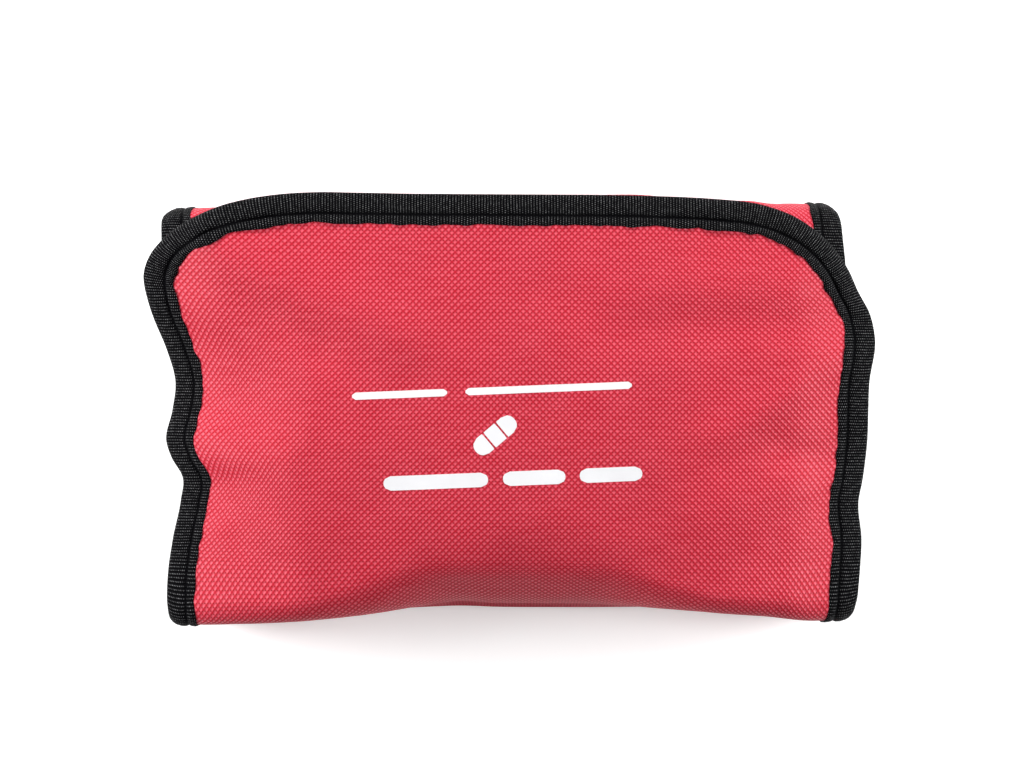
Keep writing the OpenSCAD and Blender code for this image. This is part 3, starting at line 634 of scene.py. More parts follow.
def ribbed_tape(name, dark, light, rib=0.92, thread=0.60, rough=0.5, groove=3.7):
    """Woven binding tape: ribs across it, with a painted glint on each thread that crosses a rib, and painted
    shade along the sewn groove, where there is no glint."""
    m = Shader(name)
    s, d = m.uv()
    where = m.join(s, d)
    sway = m.sway(where, 6, 1, 0.4)
    ribs = m.sin(m.mul(m.add(s, sway), 2 * math.pi / rib))
    threads = m.sin(m.add(m.mul(d, 2 * math.pi / thread), m.mul(s, math.pi / rib)))
    glint = m.mul(m.range(ribs, 0.25, 1.0), m.range(threads, 0.0, 1.0))
    patchy = m.range(m.noise(where, 1.3, 2), 0.35, 0.70)
    # Painted shade: the glints fade to the dark colour along the sewn groove.
    sewn = m.range(m.abs(m.add(d, -groove, m.mul(sway, 1.2))), 0.2, 0.9)
    colour = m.mix(m.mul(glint, sewn, m.add(m.mul(patchy, 0.75), 0.25)), dark, light)
    m.set(Base_Color=colour, Roughness=rough, Specular_IOR_Level=0.01)
    m.bump(m.add(m.mul(ribs, 0.5), m.mul(threads, 0.25), m.mul(m.noise(where, 4.0, 2), 0.5)), 0.16)
    return m.material


def plain(name, colour, second, size, rough, depth, grain=0.5):
    """Mottled plain finish with fine grain, for moulded, sheet and padded things."""
    m = Shader(name)
    where = m.place()
    blotch = m.range(m.noise(where, size, 3), 0.3, 0.7)
    fine = m.noise(where, grain, 2)
    m.set(Base_Color=m.mix(blotch, colour, second),
          Roughness=m.range(fine, 0.3, 0.7, rough - 0.06, rough + 0.08))
    m.bump(m.add(fine, m.mul(blotch, 0.6)), depth)
    return m.material


def brushed(name, colour, rough):
    """Brushed metal: fine scratches along x, and a few soft smudges."""
    m = Shader(name)
    x, y, z = m.split(m.place())
    scratch = m.noise(m.join(m.mul(x, 0.04), y, z), 0.22, 3, 0.7)
    smudge = m.range(m.noise(m.place(), 7, 2), 0.35, 0.7)
    m.set(Base_Color=m.mix(smudge, colour, tuple(0.86 * c for c in colour)), Metallic=1.0,
          Roughness=m.add(m.range(scratch, 0.3, 0.7, rough - 0.08, rough + 0.10), m.mul(smudge, 0.06)))
    m.bump(scratch, 0.02)
    return m.material


def wrapped(name, colour, second, band, centre, half, metal, rough, crease, size=5.0):
    """Wrapper of paper, film or foil, with sharp creases and painted shade along them (a painted highlight
    where the creased colour is lighter), and a plain printed band along the pack.
    """
    m = Shader(name)
    u, v = m.uv("piece")
    where = m.join(u, v)
    warp = m.noise(where, 4 * size, 2)
    creases = m.noise(m.join(m.add(u, m.mul(warp, 9)), v), size, 3, 0.62)
    sharp = m.abs(m.add(creases, -0.5))
    # Painted shade along the creases: they take the second colour (lighter for the glove bag film: a painted
    # highlight).
    colour = m.mix(m.range(sharp, 0.0, 0.12), second, colour)
    if band:
        inside = m.math("LESS_THAN", m.abs(m.add(v, -centre)), half)
        colour = m.mix(m.mul(inside, m.range(m.noise(where, 1.2, 2), 0.2, 0.5, 0.8, 1.0)), colour, band)
    m.set(Base_Color=colour, Metallic=metal, Roughness=m.range(creases, 0.3, 0.7, rough - 0.08, rough + 0.1))
    m.bump(m.add(m.range(sharp, 0.0, 0.10), m.mul(m.noise(where, 0.4, 1), 0.12)), crease)
    return m.material


def netted(name, dark, light, pitch, stretch, depth, rough=0.85, fuzz=0.5):
    """Open weave of gauze, crepe or elastic, from two sets of threads with loose fibres, and painted shade in
    the dark colour between the threads.
    """
    m = Shader(name)
    u, v = m.uv("piece")
    where = m.join(u, v)
    sway = m.sway(where, 5, 2, 2.2 * pitch)
    a = m.abs(m.sin(m.mul(m.add(u, sway), math.pi / pitch)))
    b = m.abs(m.sin(m.mul(m.add(v, sway), math.pi / (pitch * stretch))))
    thread = m.math("MAXIMUM", a, b)
    fibres = m.noise(m.join(m.mul(u, 2.0), m.mul(v, 0.6)), 0.5, 3, 0.7)
    # Painted shade: the gaps between the threads take the dark colour.
    colour = m.mix(m.range(m.add(thread, m.mul(m.add(fibres, -0.5), fuzz)), 0.45, 0.95), dark, light)
    m.set(Base_Color=colour, Roughness=rough, Specular_IOR_Level=0.15)
    m.bump(m.add(thread, m.mul(fibres, fuzz)), depth)
    return m.material


def pile(name, dark, light, spot, depth):
    """Hook or loop tape: a dense pile."""
    m = Shader(name)
    where = m.join(*m.uv("piece"))
    cell = m.node("TexVoronoi", Scale=1 / spot, Vector=where)
    tuft = m.range(cell.outputs["Distance"], 0.1, 0.6, 1.0, 0.0)
    colour = m.mix(m.mul(tuft, m.noise(where, 2, 2)), dark, light)
    m.set(Base_Color=colour, Roughness=0.8, Specular_IOR_Level=0.1)
    m.bump(tuft, depth)
    return m.material


def film(name, tint, alpha, rough=0.12, ripple=0.25):
    """Clear soft plastic sheet with faint ripples and dust."""
    m = Shader(name)
    where = m.place()
    dust = m.range(m.noise(where, 0.8, 3), 0.55, 0.8)
    m.set(Base_Color=m.mix(dust, tint, (0.9, 0.9, 0.9)), Alpha=alpha, Roughness=rough, Specular_IOR_Level=0.6)
    m.bump(m.noise(where, 16, 2), ripple)
    return m.material


def grey(value, blue=0.0):
    """Grey with a little more blue."""
    return value, value, value + blue


MAT = {
    # Both cloths: the first colour is painted shade in the pinholes, the last a painted highlight on the warp
    # floats.
    "cloth": woven("red_oxford_cloth", (0.27, 0.001, 0.006), (0.435, 0.006, 0.020), (0.73, 0.092, 0.137)),
    "lining": woven("red_lining_cloth", (0.22, 0.006, 0.012), (0.36, 0.014, 0.024), (0.44, 0.03, 0.042),
                    pitch=0.5, rough=0.6, depth=0.03),
    # The tape's light grey is the colour of its painted glints.
    "tape": ribbed_tape("black_binding_tape", grey(0.002, 0.0005), grey(0.26, 0.005)),
    "print": plain("white_print_ink", grey(0.80, 0.02), grey(0.76, 0.02), 9, 0.45, 0.03),
    "clear": film("clear_vinyl", (0.82, 0.86, 0.88), 0.16),
    "shield": film("face_shield_film", (0.55, 0.72, 0.80), 0.45, 0.2, 0.5),
    # dark colour (painted shade between the threads), light colour, pitch, stretch, depth, roughness, fuzz
    "black_cloth": netted("black_pocket_cloth", grey(0.003, 0.001), grey(0.020, 0.002), 0.5, 1.0, 0.05, 0.6),
    "frame": netted("black_frame_tape", grey(0.003, 0.0005), grey(0.030, 0.002), 0.8, 0.6, 0.10, 0.6, 0.3),
    "elastic": netted("black_elastic", grey(0.003, 0.001), grey(0.035, 0.002), 1.1, 0.45, 0.16, 0.7, 0.3),
    "crepe": netted("crepe_weave", (0.55, 0.45, 0.30), (0.86, 0.79, 0.64), 0.9, 0.55, 0.22),
    "gauze": netted("gauze_weave", grey(0.62, -0.02), grey(0.90, -0.015), 1.0, 1.0, 0.22),
    # colour, second colour, blotch size, roughness, depth, grain
    "thread": plain("black_thread", grey(0.03, 0.002), grey(0.05, 0.002), 1.0, 0.6, 0.03, 0.2),
    "coil": plain("zip_coil_nylon", grey(0.010, 0.001), grey(0.022, 0.002), 3, 0.35, 0.02),
    "plaster_tape": plain("adhesive_tape_cloth", (0.80, 0.66, 0.50), (0.74, 0.60, 0.45), 3, 0.6, 0.06, 0.3),
    "spool": plain("spool_plastic", grey(0.85, -0.02), grey(0.80, -0.02), 14, 0.35, 0.02),
    "hook": pile("hook_tape", grey(0.004, 0.001), grey(0.10, 0.005), 0.9, 0.35),
    "loop": pile("loop_tape", grey(0.005, 0.001), grey(0.05, 0.003), 1.6, 0.30),
    # colour, creased colour (painted shade along the creases, a painted highlight where it is lighter),
    # band's colour, centre and half width, metal, roughness, crease depth and size
    "white_pack": wrapped("white_paper_pack", grey(0.86, -0.01), grey(0.74), (0.05, 0.30, 0.50),
                          0, 5, 0, 0.55, 0.2),
    "green_pack": wrapped("dressing_paper_pack", grey(0.87, -0.02), (0.74, 0.75, 0.74), (0.04, 0.35, 0.20),
                          9, 4, 0, 0.55, 0.25),
    "swab_pack": wrapped("swab_paper_pack", grey(0.88, -0.01), grey(0.76), (0.35, 0.62, 0.80),
                         13, 3, 0, 0.6, 0.15),
    "foil_pack": wrapped("foil_blanket_film", grey(0.78, -0.01), (0.66, 0.67, 0.68), None,
                         0, 0, 1.0, 0.30, 0.35, 9.0),
    "glove_pack": wrapped("glove_bag_film", (0.16, 0.40, 0.66), (0.26, 0.50, 0.74), None,
                          0, 0, 0, 0.25, 0.5, 10.0),
    "plaster_pack": wrapped("plaster_strip_paper", (0.88, 0.86, 0.80), (0.78, 0.75, 0.68), (0.72, 0.50, 0.34),
                            0, 4, 0, 0.6, 0.12),
    "wipe_pack": wrapped("wipe_sachet_foil", (0.74, 0.80, 0.84), (0.55, 0.62, 0.68), (0.02, 0.18, 0.50),
                         0, 5, 0.4, 0.3, 0.3, 4.0),
    "leaflet": wrapped("leaflet_paper", grey(0.88, -0.02), grey(0.80, -0.02), (0.55, 0.60, 0.64),
                       8, 2, 0, 0.6, 0.08),
}

# ---------------- the pouch

front_shell = shell("front_flap_cloth", 0, V_BOTTOM_MID, "front")
lower_shell = shell("lower_back_cloth", V_BOTTOM_MID, V_REAR_MID)
upper_shell = shell("upper_back_cloth", V_REAR_MID, V_TOP_MID)
inner_shell = shell("inner_flap_cloth", V_TOP_MID, V_END, "inner")
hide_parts("flap_outer_fabric", "flap_lining")
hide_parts("rear_outer_fabric", "rear_lining", "bottom_fold_fabric", "bottom_fold_lining")
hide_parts("top_fold_fabric", "top_fold_lining")
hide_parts("inner_flap_fabric", "inner_flap_lining")

front_tape = binding("front_flap_tape", end_path("front", -1, V_BOTTOM_MID, 0), 1)
lower_tapes = [binding("lower_left_tape", side_path(-1, V_REAR_MID, V_BOTTOM_MID), 2),
               binding("lower_right_tape", side_path(1, V_BOTTOM_MID, V_REAR_MID), 3)]
upper_tapes = [binding("upper_left_tape", side_path(-1, V_TOP_MID, V_REAR_MID), 4),
               binding("upper_right_tape", side_path(1, V_REAR_MID, V_TOP_MID), 5)]
inner_tape = binding("inner_flap_tape", end_path("inner", 1, V_TOP_MID, V_END), 6)
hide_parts("flap_binding")
for tape in lower_tapes:
    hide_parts("rear_edge_binding", "bottom_fold_binding")
for tape in upper_tapes:
    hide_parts("top_fold_binding")
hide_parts("inner_flap_binding")


def bend(objects):
    """Bakes each object's transform into its mesh."""
    for obj in objects:
        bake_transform(obj)


bend([front_shell, front_tape])
bend([lower_shell, *lower_tapes])
bend([upper_shell, *upper_tapes])
bend([inner_shell, inner_tape])


# ---------------- places for what the pouch holds

LINING_Z = FLAP_TOP - TAPE_T - CLOTH_T - LINING_T
PRINT_TURN = math.radians(2.3)


def solids(node):
    """Lowest and highest corner of each separate solid of a CAD node, in millimetres, in order of place."""
    mesh = NODES[node].data
    co = np.empty(len(mesh.vertices) * 3)
    mesh.vertices.foreach_get("co", co)
    keys, index = np.unique(np.round(co.reshape(-1, 3) / MM, 2), axis=0, return_inverse=True)
    index = index.ravel()
    group = np.arange(len(keys))
    links = np.array([(index[p.vertices[0]], index[v]) for p in mesh.polygons for v in p.vertices[1:]])
    while True:
        low = np.minimum(group[links[:, 0]], group[links[:, 1]])
        new = group.copy()
        np.minimum.at(new, links[:, 0], low)
        np.minimum.at(new, links[:, 1], low)
        if (new == group).all():
            break
        group = new
    boxes = [(keys[group == g].min(0), keys[group == g].max(0)) for g in np.unique(group)]
    return sorted(boxes, key=lambda box: tuple(np.round(box[0], 1)))


def stacked(node):
    """The solids of a CAD node, from the lowest up."""
    return sorted(solids(node), key=lambda box: box[0][2])


def lying(x, y, z):
    """In the back pocket, which gives way where the flap rolls down over it."""
    x, y, z = np.broadcast_arrays(x, y, z)
    give = rise(-y, 44, 18) * (1 - rise(np.abs(x - 4), 30, 40)) * smooth(z / 30)
    return np.stack([x, y + 2.2 * give, z - 5.0 * give], -1)


def in_pocket(x, y, z):
    """Part of the back pocket itself, which is pressed down at its left end too."""
    left = rise(-x, 84, 16) * rise(y, -62, 30) * smooth((60 - y) / 30) * smooth(z / 30)
    return lying(x, y, z - 2.5 * left)


def in_flap(x, y, z):
    """Inside the front flap, at a CAD height, following the flap's shape."""
    x, y, z = np.broadcast_arrays(x, y, z)
    return surface(x, FLAP_END - y, FLAP_TOP - z)[0]


def in_slip(x, y, z):
    """In the slip pocket, whose contents are pressed a little flatter than their CAD solids."""
    return in_flap(x, y, LINING_Z - 0.8 * (LINING_Z - z))


def on_inner(x, y, z):
    """On the inner flap, at a CAD height."""
    x, y, z = np.broadcast_arrays(x, y, z)
    return surface(x, V_INNER_BEND + FOLD_Y - R_INNER - y, INNER_TOP - z)[0]


def held(x, y, z):
    """Round a tool where the CAD puts it, with the strap's feet on the inner flap's lining."""
    foot = rise(np.asarray(z, float), 38, 3.5)[..., None]
    return lying(x, y, z) * (1 - foot) + on_inner(x, y, z) * foot


def turned(x, y, angle):
    """The place turned round the origin."""
    cos, sin = math.cos(angle), math.sin(angle)
    return x * cos - y * sin, x * sin + y * cos


def printed(x, y, z):
    """On the front flap's outer face, z above the cloth, turned as the print is."""
    x, y, z = np.broadcast_arrays(*turned(x, y, PRINT_TURN), z)
    return surface(x, FLAP_END - y, TAPE_T - z)[0]


def slanted(x, y, z):
    """On the print's pictogram, from its centre."""
    x, y = turned(x, y, math.radians(38))
    return printed(x - 5.7, y - 8.8, z)


# ---------------- closed skins for what the pouch holds

def pad(place, box, shape, corner=(1.5, 1.5), step=1.7):
    """Closed slab over a rectangle x0, x1, y0, y1 with rounded corners, left and right. shape gives its lower
    and upper height."""
    x0, x1, y0, y1 = box
    hx, hy = (x1 - x0) / 2, (y1 - y0) / 2
    t = np.linspace(-1, 1, max(4, int(2 * hy / step)))[:, None]
    s = np.linspace(-1, 1, max(4, int(2 * hx / step)))[None]
    inset = [c - np.sqrt(c * c - np.maximum(np.abs(t) * hy - hy + c, 0) ** 2) for c in corner]
    left, right = x0 + inset[0], x1 - inset[1]
    x, y, s, t = np.broadcast_arrays(left + (right - left) * (s + 1) / 2, (y0 + y1) / 2 + t * hy, s, t)
    low, high = shape(s, t, x, y)
    points = np.concatenate([place(x, y, high).reshape(-1, 3), place(x, y, low).reshape(-1, 3)])
    uv = np.stack([x - (x0 + x1) / 2, y - (y0 + y1) / 2], -1).reshape(-1, 2)
    return points, slab_faces(*x.shape), np.concatenate([uv, uv])


def outline(box, in_x=0.0, in_y=0.0):
    """A box's x0, x1, y0, y1, drawn in."""
    (x0, y0, _), (x1, y1, _) = box
    return x0 + in_x, x1 - in_x, y0 + in_y, y1 - in_y


def level(z0, z1, ripple=0.0, size=25, seed=0.0, calm=None):
    """Sheet between two heights, with ripples that die away at y = calm."""
    def shape(s, t, x, y):
        wave = ripple * waves(x, y, size, seed) * (1 if calm is None else smooth(np.abs(y - calm) / 12))
        return z0 + wave, z1 + wave
    return shape


def filled(box, seal, seed, wrinkle=0.45, full=6, crimp=0.22):
    """Filled packet with a crimped seal at each end of its length."""
    (x0, _, z0), (x1, _, z1) = box
    hx, mid, half = (x1 - x0) / 2, (z0 + z1) / 2, (z1 - z0) / 2 - 0.15

    def shape(s, t, x, y):
        u = np.clip(np.abs(s) * hx / (hx - seal), 0, 1)
        body = np.sqrt(1 - u ** full) * np.sqrt(np.clip(1 - np.abs(t) ** full, 0, 1))
        pleats = 0.5 * waves(x * 0.2, y, 4.5, seed + 3) * u ** 4 * body
        soft = wrinkle * waves(x, y, 11, seed) * body
        ribs = crimp * np.sin(y * 2 * math.pi / 2.4) * (u >= 1)
        low = mid - half * body - 0.15 + ribs - 0.3 * soft
        return low, mid + (half - wrinkle) * body + 0.15 + ribs + soft + pleats
    return shape


PLASTER_PITCH = 14.4


def plasters(z0, x0):
    """Paper strip of plasters side by side, each with a pad in its middle."""
    def shape(s, t, x, y):
        plaster = smooth(np.abs(np.sin((x - x0) * math.pi / PLASTER_PITCH)) * 2.2 - 0.2)
        plaster = plaster * (1 - rise(np.abs(t), 0.8, 0.1))
        padded = 0.7 + 0.3 * np.exp(-(t / 0.3) ** 2)
        return z0 + 0.9 - 0.8 * plaster, z0 + 1.2 + 0.8 * plaster * padded
    return shape


def loops(points, ring=False, along=None):
    """Closed skin through section loops given as [row][place round the section]."""
    along = run_length(points[:, 0]) if along is None else along
    uv = grid_uv(along, run_length(points[0]))
    return points.reshape(-1, 3), loop_faces(*points.shape[:2], ring), uv


def ribbon(place, path, width, thick):
    """Strap along a path, with its width set across it in a fixed direction."""
    path = np.asarray(path, float)
    across = np.broadcast_to(np.asarray(width, float), path.shape)
    normal = unit(np.cross(unit(np.gradient(path, axis=0)), across))
    lower = [(-1, -.6), (-.96, -1), (-.5, -1), (0, -1), (.5, -1), (.96, -1), (1, -.6)]
    section = lower + [(-a, -b) for a, b in lower]
    points = np.stack([path + a / 2 * across + b / 2 * thick * normal for a, b in section], 1)
    return loops(place(points[..., 0], points[..., 1], points[..., 2]))


def rounded_path(points, radius, step):
    """Polyline with rounded corners, in three dimensions."""
    points = [np.asarray(p, float) for p in points]
    out = [points[0]]
    for before, at, after in zip(points, points[1:], points[2:]):
        r = min(radius, np.linalg.norm(before - at) / 2, np.linalg.norm(after - at) / 2)
        a, b = at + unit(before - at) * r, at + unit(after - at) * r
        out += [(1 - t) ** 2 * a + 2 * t * (1 - t) * at + t * t * b for t in np.linspace(0, 1, 6)]
    out = np.array(out + [points[-1]])
    length = run_length(out)
    even = np.union1d(length, rows_for(0, length[-1], step))
    return np.stack([np.interp(even, length, out[:, i]) for i in range(3)], -1)


def rectangle_path(hx, hy, r, step=3.0):
    """Rounded rectangle as a ring, and its outward normals."""
    out, normals = [], []
    for side_x, side_y, a0 in ((1, 1, 0), (-1, 1, 90), (-1, -1, 180), (1, -1, 270)):
        for a in np.radians(np.linspace(a0, a0 + 90, 7)):
            out.append((side_x * (hx - r) + r * math.cos(a), side_y * (hy - r) + r * math.sin(a)))
            normals.append((math.cos(a), math.sin(a)))
        gap = 2 * (hy - r) if a0 in (90, 270) else 2 * (hx - r)
        n = max(1, int(gap / step))
        dx, dy = -math.sin(math.radians(a0 + 90)), math.cos(math.radians(a0 + 90))
        x, y = out[-1]
        out += [(x + dx * gap * i / n, y + dy * gap * i / n) for i in range(1, n)]
        normals += [normals[-1]] * (n - 1)
    return np.array(out), np.array(normals)


def wound(box, axis, pitch, inset=0.0, hole=0.6, seed=0.0, soft=0.35, start=50, groove=0.55):
    """Roll of wound strip that fills a box, with its spiral on both ends and its tail on the outside."""
    size = np.subtract(box[1], box[0])
    length = size["xyz".index(axis)]
    radius = size[0 if axis == "z" else 2] / 2 - inset
    end = []
    for k in range(int((radius - hole) / pitch)):
        r = hole + k * pitch
        end += [(r, groove), (r + 0.25 * pitch, 0), (r + 0.8 * pitch, 0), (r + 0.97 * pitch, groove)]
    rim = [(radius, a) for a in np.linspace(0.6, length - 0.6, max(5, int(length / 3)))]
    profile = np.array(end + rim + [(r, length - a) for r, a in reversed(end)])
    angle = np.linspace(0, 2 * math.pi, 65)[:, None]
    r = np.maximum(profile[None, :, 0] - pitch * angle / (2 * math.pi), min(hole, 0.3) if hole < 2 else hole)
    a = np.broadcast_to(profile[None, :, 1], r.shape)
    at = angle + math.radians(start)
    p, q = r * np.cos(at), r * np.sin(at)
    swell = 1 + soft * waves(a + 3 * p, 3 * q, 14, seed) * r / radius / radius
    p, q = p * swell, q * swell
    a = a + soft * waves(p, q, 6, seed + 9) * np.where(a < length / 2, 1, -1) - length / 2
    offset = {"x": (a, p, q), "y": (p, a, q), "z": (p, q, a)}[axis]
    centre = np.add(box[0], box[1]) / 2
    return loops(lying(*(c + d for c, d in zip(centre, offset))), along=angle[:, 0] * radius)


def piece(name, parts, material, slot, body, *nodes):
    """Object made of one or more closed parts, riding on a body and standing for CAD nodes."""
    points, faces, uv = [], [], []
    start = 0
    for p, f, u in parts:
        points.append(p)
        faces += [tuple(i + start for i in face) for face in f]
        uv.append(u)
        start += len(p)
    obj = make_mesh(name, np.concatenate(points), faces, np.concatenate(uv), "piece", [MAT[material]])
    tidy = bmesh.new()
    tidy.from_mesh(obj.data)
    bmesh.ops.recalc_face_normals(tidy, faces=tidy.faces)
    tidy.to_mesh(obj.data)
    tidy.free()
    obj.data.set_sharp_from_angle(angle=math.radians(42))
    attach(obj, body)
    if nodes:
        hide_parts(*nodes)


# ---------------- back pocket

FRAME_W = corners("pocket_frame_tape")[1][0] - corners("pocket_zip_tape")[1][0]
POCKET_CORNER = 4
STITCH, STITCH_PITCH = 2.2, 3.0
TOOTH_PITCH = 0.72


def round_the_pocket(node, size, seed, shape):
    """Closed band round the pocket's edge. shape gives its distance in from the edge and its height, from
    noise with features of the given size."""
    x1, y1, _ = corners(node)[1]
    path, out = rectangle_path(x1, y1, POCKET_CORNER)
    uneven = np.array([noise.noise(Vector((x / size, y / size, seed))) for x, y in path])[:, None]
    inward, z = shape(uneven)
    x, y = path[:, :1] - out[:, :1] * inward, path[:, 1:] - out[:, 1:] * inward
    return loops(in_pocket(x, y, z), ring=True)


def gusset_shape(uneven):
    z0, z1 = (corner[2] for corner in corners("pocket_gusset"))
    up = np.linspace(z0, z1, 11)
    z = np.concatenate([up, up[::-1]])[None]
    height = (z - z0) / (z1 - z0)
    belly = np.sin(math.pi * height) * (0.8 + 0.5 * uneven + 0.35 * np.sin(height * 6 * math.pi))
    return belly + np.repeat([0.0, 0.8], 11), z


def frame_shape(uneven):
    z0, z1 = (corner[2] for corner in corners("pocket_frame_tape"))
    inward = np.array([0, 0, 0.4, FRAME_W / 2, FRAME_W - 0.4, FRAME_W, FRAME_W])[None]
    return inward, np.array([z0, z1 - 0.1, z1, z1 + 0.06, z1, z1 - 0.1, z0]) + 0.12 * uneven


def frame_stitches(inset):
    """Row of stitches round the frame tape, each a short strap that dips in at both ends."""
    x1, y1, z1 = corners("pocket_frame_tape")[1]
    path, _ = rectangle_path(x1 - inset, y1 - inset, max(POCKET_CORNER - inset, 1), 0.9)
    length = run_length(path)
    row = []
    for start in np.arange(1, length[-1] - STITCH_PITCH, STITCH_PITCH):
        s = start + np.linspace(0, STITCH, 4)
        x, y = np.interp(s, length, path[:, 0]), np.interp(s, length, path[:, 1])
        thread = np.stack([x, y, z1 + np.array([0.05, 0.22, 0.22, 0.05])], -1)
        across = 0.45 * unit(np.array([y[0] - y[-1], x[-1] - x[0], 0]))
        row.append(ribbon(in_pocket, thread, across, 0.22))
    return row


def zip_tooth(x, side):
    """Tooth of the zip's coil: a rounded bar that reaches past the middle from one side."""
    z = (corners("pocket_zip_coil")[0][2] + corners("pocket_zip_coil")[1][2]) / 2 + 0.05
    a = np.radians(np.arange(0, 360, 60))
    rows = [np.stack([x + r * np.cos(a), np.full(6, ZIP_Y + side * d), z + 2.1 * r * np.sin(a)], -1)
            for d, r in ((-0.55, 0.16), (-0.35, 0.30), (1.5, 0.32), (1.9, 0.22))]
    return loops(np.array(rows))


piece("pocket_gusset_wall", [round_the_pocket("pocket_gusset", 16, 3, gusset_shape)], "black_cloth",
      "black_binding", "pouch_back", "pocket_gusset")
for i, box in enumerate(solids("pocket_window")):
    z1 = box[1][2]
    part = pad(in_pocket, outline(box, 0.6, 0.2), level(z1 - 0.3, z1 - 0.05, 0.5, 26, 3.0 + i, ZIP_Y))
    piece(f"pocket_clear_sheet_{i + 1}", [part], "clear", "clear_sheet", "pouch_back", "pocket_window")
piece("pocket_frame", [round_the_pocket("pocket_frame_tape", 9, 1, frame_shape)], "frame", "black_binding",
      "pouch_back", "pocket_frame_tape")
piece("pocket_frame_stitches", frame_stitches(1.4) + frame_stitches(FRAME_W - 1.4), "thread", "black_binding",
      "pouch_back")
for i, box in enumerate(solids("pocket_zip_tape")):
    part = pad(in_pocket, outline(box), level(box[0][2], box[1][2], 0.12, 20, 9.0 + i, ZIP_Y), (.3, .3))
    piece(f"zip_tape_{i + 1}", [part], "frame", "zip_black", "pouch_back", "pocket_zip_tape")
zip_start, zip_end = (corner[0] for corner in corners("pocket_zip_coil"))
teeth = [zip_tooth(x, 1 if i % 2 else -1)
         for i, x in enumerate(np.arange(zip_start + 0.6, zip_end - 0.3, TOOTH_PITCH))]
piece("zip_teeth", teeth, "coil", "zip_black", "pouch_back", "pocket_zip_coil")

piece("crepe_bandage_roll", [wound(solids("crepe_bandage")[0], "x", 1.25, seed=2.0)], "crepe",
      "crepe_cotton", "pouch_back", "crepe_bandage")
for i, box in enumerate(solids("gauze_rolls")):
    axis = "x" if box[1][0] - box[0][0] > box[1][1] - box[0][1] else "y"
    part = wound(box, axis, 1.5, inset=0.1, seed=5.0 + 3 * i, start=35 + 20 * i, soft=0.45)
    piece(f"gauze_roll_{i + 1}", [part], "gauze", "white_gauze", "pouch_back", "gauze_rolls")
SPOOL_R = (corners("tape_spool")[1][0] - corners("tape_spool")[0][0]) * 12.05 / 46
piece("adhesive_tape_roll", [wound(corners("adhesive_tape"), "z", 1.2, hole=SPOOL_R, soft=0.02, groove=0.1)],
      "plaster_tape", "tape_cloth", "pouch_back", "adhesive_tape")


def packet(name, node, box, material, slot, seed, **shape):
    part = pad(lying, outline(box), filled(box, 5, seed, **shape), (1.2, 1.2))
    piece(name, [part], material, slot, "pouch_back", node)


packet("triangular_bandage", "triangular_bandage_pack", corners("triangular_bandage_pack"), "white_pack",
       "sterile_paper", 11.0)
packet("foil_blanket", "foil_blanket_pack", corners("foil_blanket_pack"), "foil_pack", "foil_film", 14.0,
       wrinkle=0.9)
for i, box in enumerate(stacked("gauze_swab_packs")):
    packet(f"gauze_swabs_{i + 1}", "gauze_swab_packs", box, "swab_pack", "sterile_paper", 17.0 + i,
           wrinkle=0.15, full=10, crimp=0.1)
packet("gloves_bag", "glove_pack", corners("glove_pack"), "glove_pack", "glove_film", 23.0, wrinkle=0.9)
for i, box in enumerate(stacked("wound_dressing_packs")):
    packet(f"wound_dressing_{i + 1}", "wound_dressing_packs", box, "green_pack", "sterile_paper", 26.0 + i)
packet("face_shield_bag", "face_shield_pack", corners("face_shield_pack"), "shield", "shield_film", 31.0,
       wrinkle=0.8)

# ---------------- front flap

hook = corners("hook_strip")
part = pad(in_flap, outline(hook), level(hook[1][2] - 1.6, hook[1][2]))
piece("hook_tape", [part], "hook", "hook_and_loop", "front_flap", "hook_strip")


def slip_wall():
    """Gusset of the slip pocket, open at the top, with a pleat along it."""
    (x0, y0, z0), (x1, y1, z1) = corners("slip_pocket_gusset")
    x0, y0, x1 = x0 + 0.4, y0 + 0.4, x1 - 0.4
    path = rounded_path([(x0, y1, 0), (x0, y0, 0), (x1, y0, 0), (x1, y1, 0)], POCKET_CORNER, 3)
    rows = np.stack([path + (0, 0, z) for z in np.linspace(z0, z1, 6)], 1)
    ahead = unit(np.gradient(path, axis=0))
    out = np.stack([-ahead[:, 1], ahead[:, 0], 0 * ahead[:, 0]], -1)[:, None]
    rows = rows + 0.35 * np.sin(np.linspace(0, 3 * math.pi, 6))[None, :, None] * out
    rows = np.concatenate([rows + 0.4 * out, (rows - 0.4 * out)[:, ::-1]], 1)
    return loops(in_slip(*np.moveaxis(rows, -1, 0)))


piece("slip_pocket_wall", [slip_wall()], "black_cloth", "black_binding", "front_flap", "slip_pocket_gusset")
window = corners("slip_pocket_window")
(x0, _, z0), (x1, y1, z1) = window
part = pad(in_slip, outline(window), level(z1 - 0.3, z1 - 0.05, 0.3, 22, 41.0), (4, 4))
piece("slip_pocket_sheet", [part], "clear", "clear_sheet", "front_flap", "slip_pocket_window")
part = ribbon(in_slip, [(x, y1 - 2.5, z0 - 0.25) for x in rows_for(x0 + 0.5, x1 - 0.5, 3)], (0, 6, 0), 0.5)
piece("slip_pocket_mouth_tape", [part], "frame", "black_binding", "front_flap")
for i, box in enumerate(stacked("plaster_strips")):
    part = pad(in_slip, outline(box), plasters(box[0][2], box[0][0]), (1, 1), 1.1)
    piece(f"plaster_strip_{i + 1}", [part], "plaster_pack", "plaster_paper", "front_flap", "plaster_strips")
for i, box in enumerate(solids("antiseptic_wipes")):
    part = pad(in_slip, outline(box), filled(box, 3.5, 51.0 + i, 0.2, 5, 0.1), (.4, .4), 1.3)
    piece(f"wipe_sachet_{i + 1}", [part], "wipe_pack", "wipe_foil", "front_flap", "antiseptic_wipes")
(x0, y0, z0), (x1, y1, _) = corners("guide_leaflet")
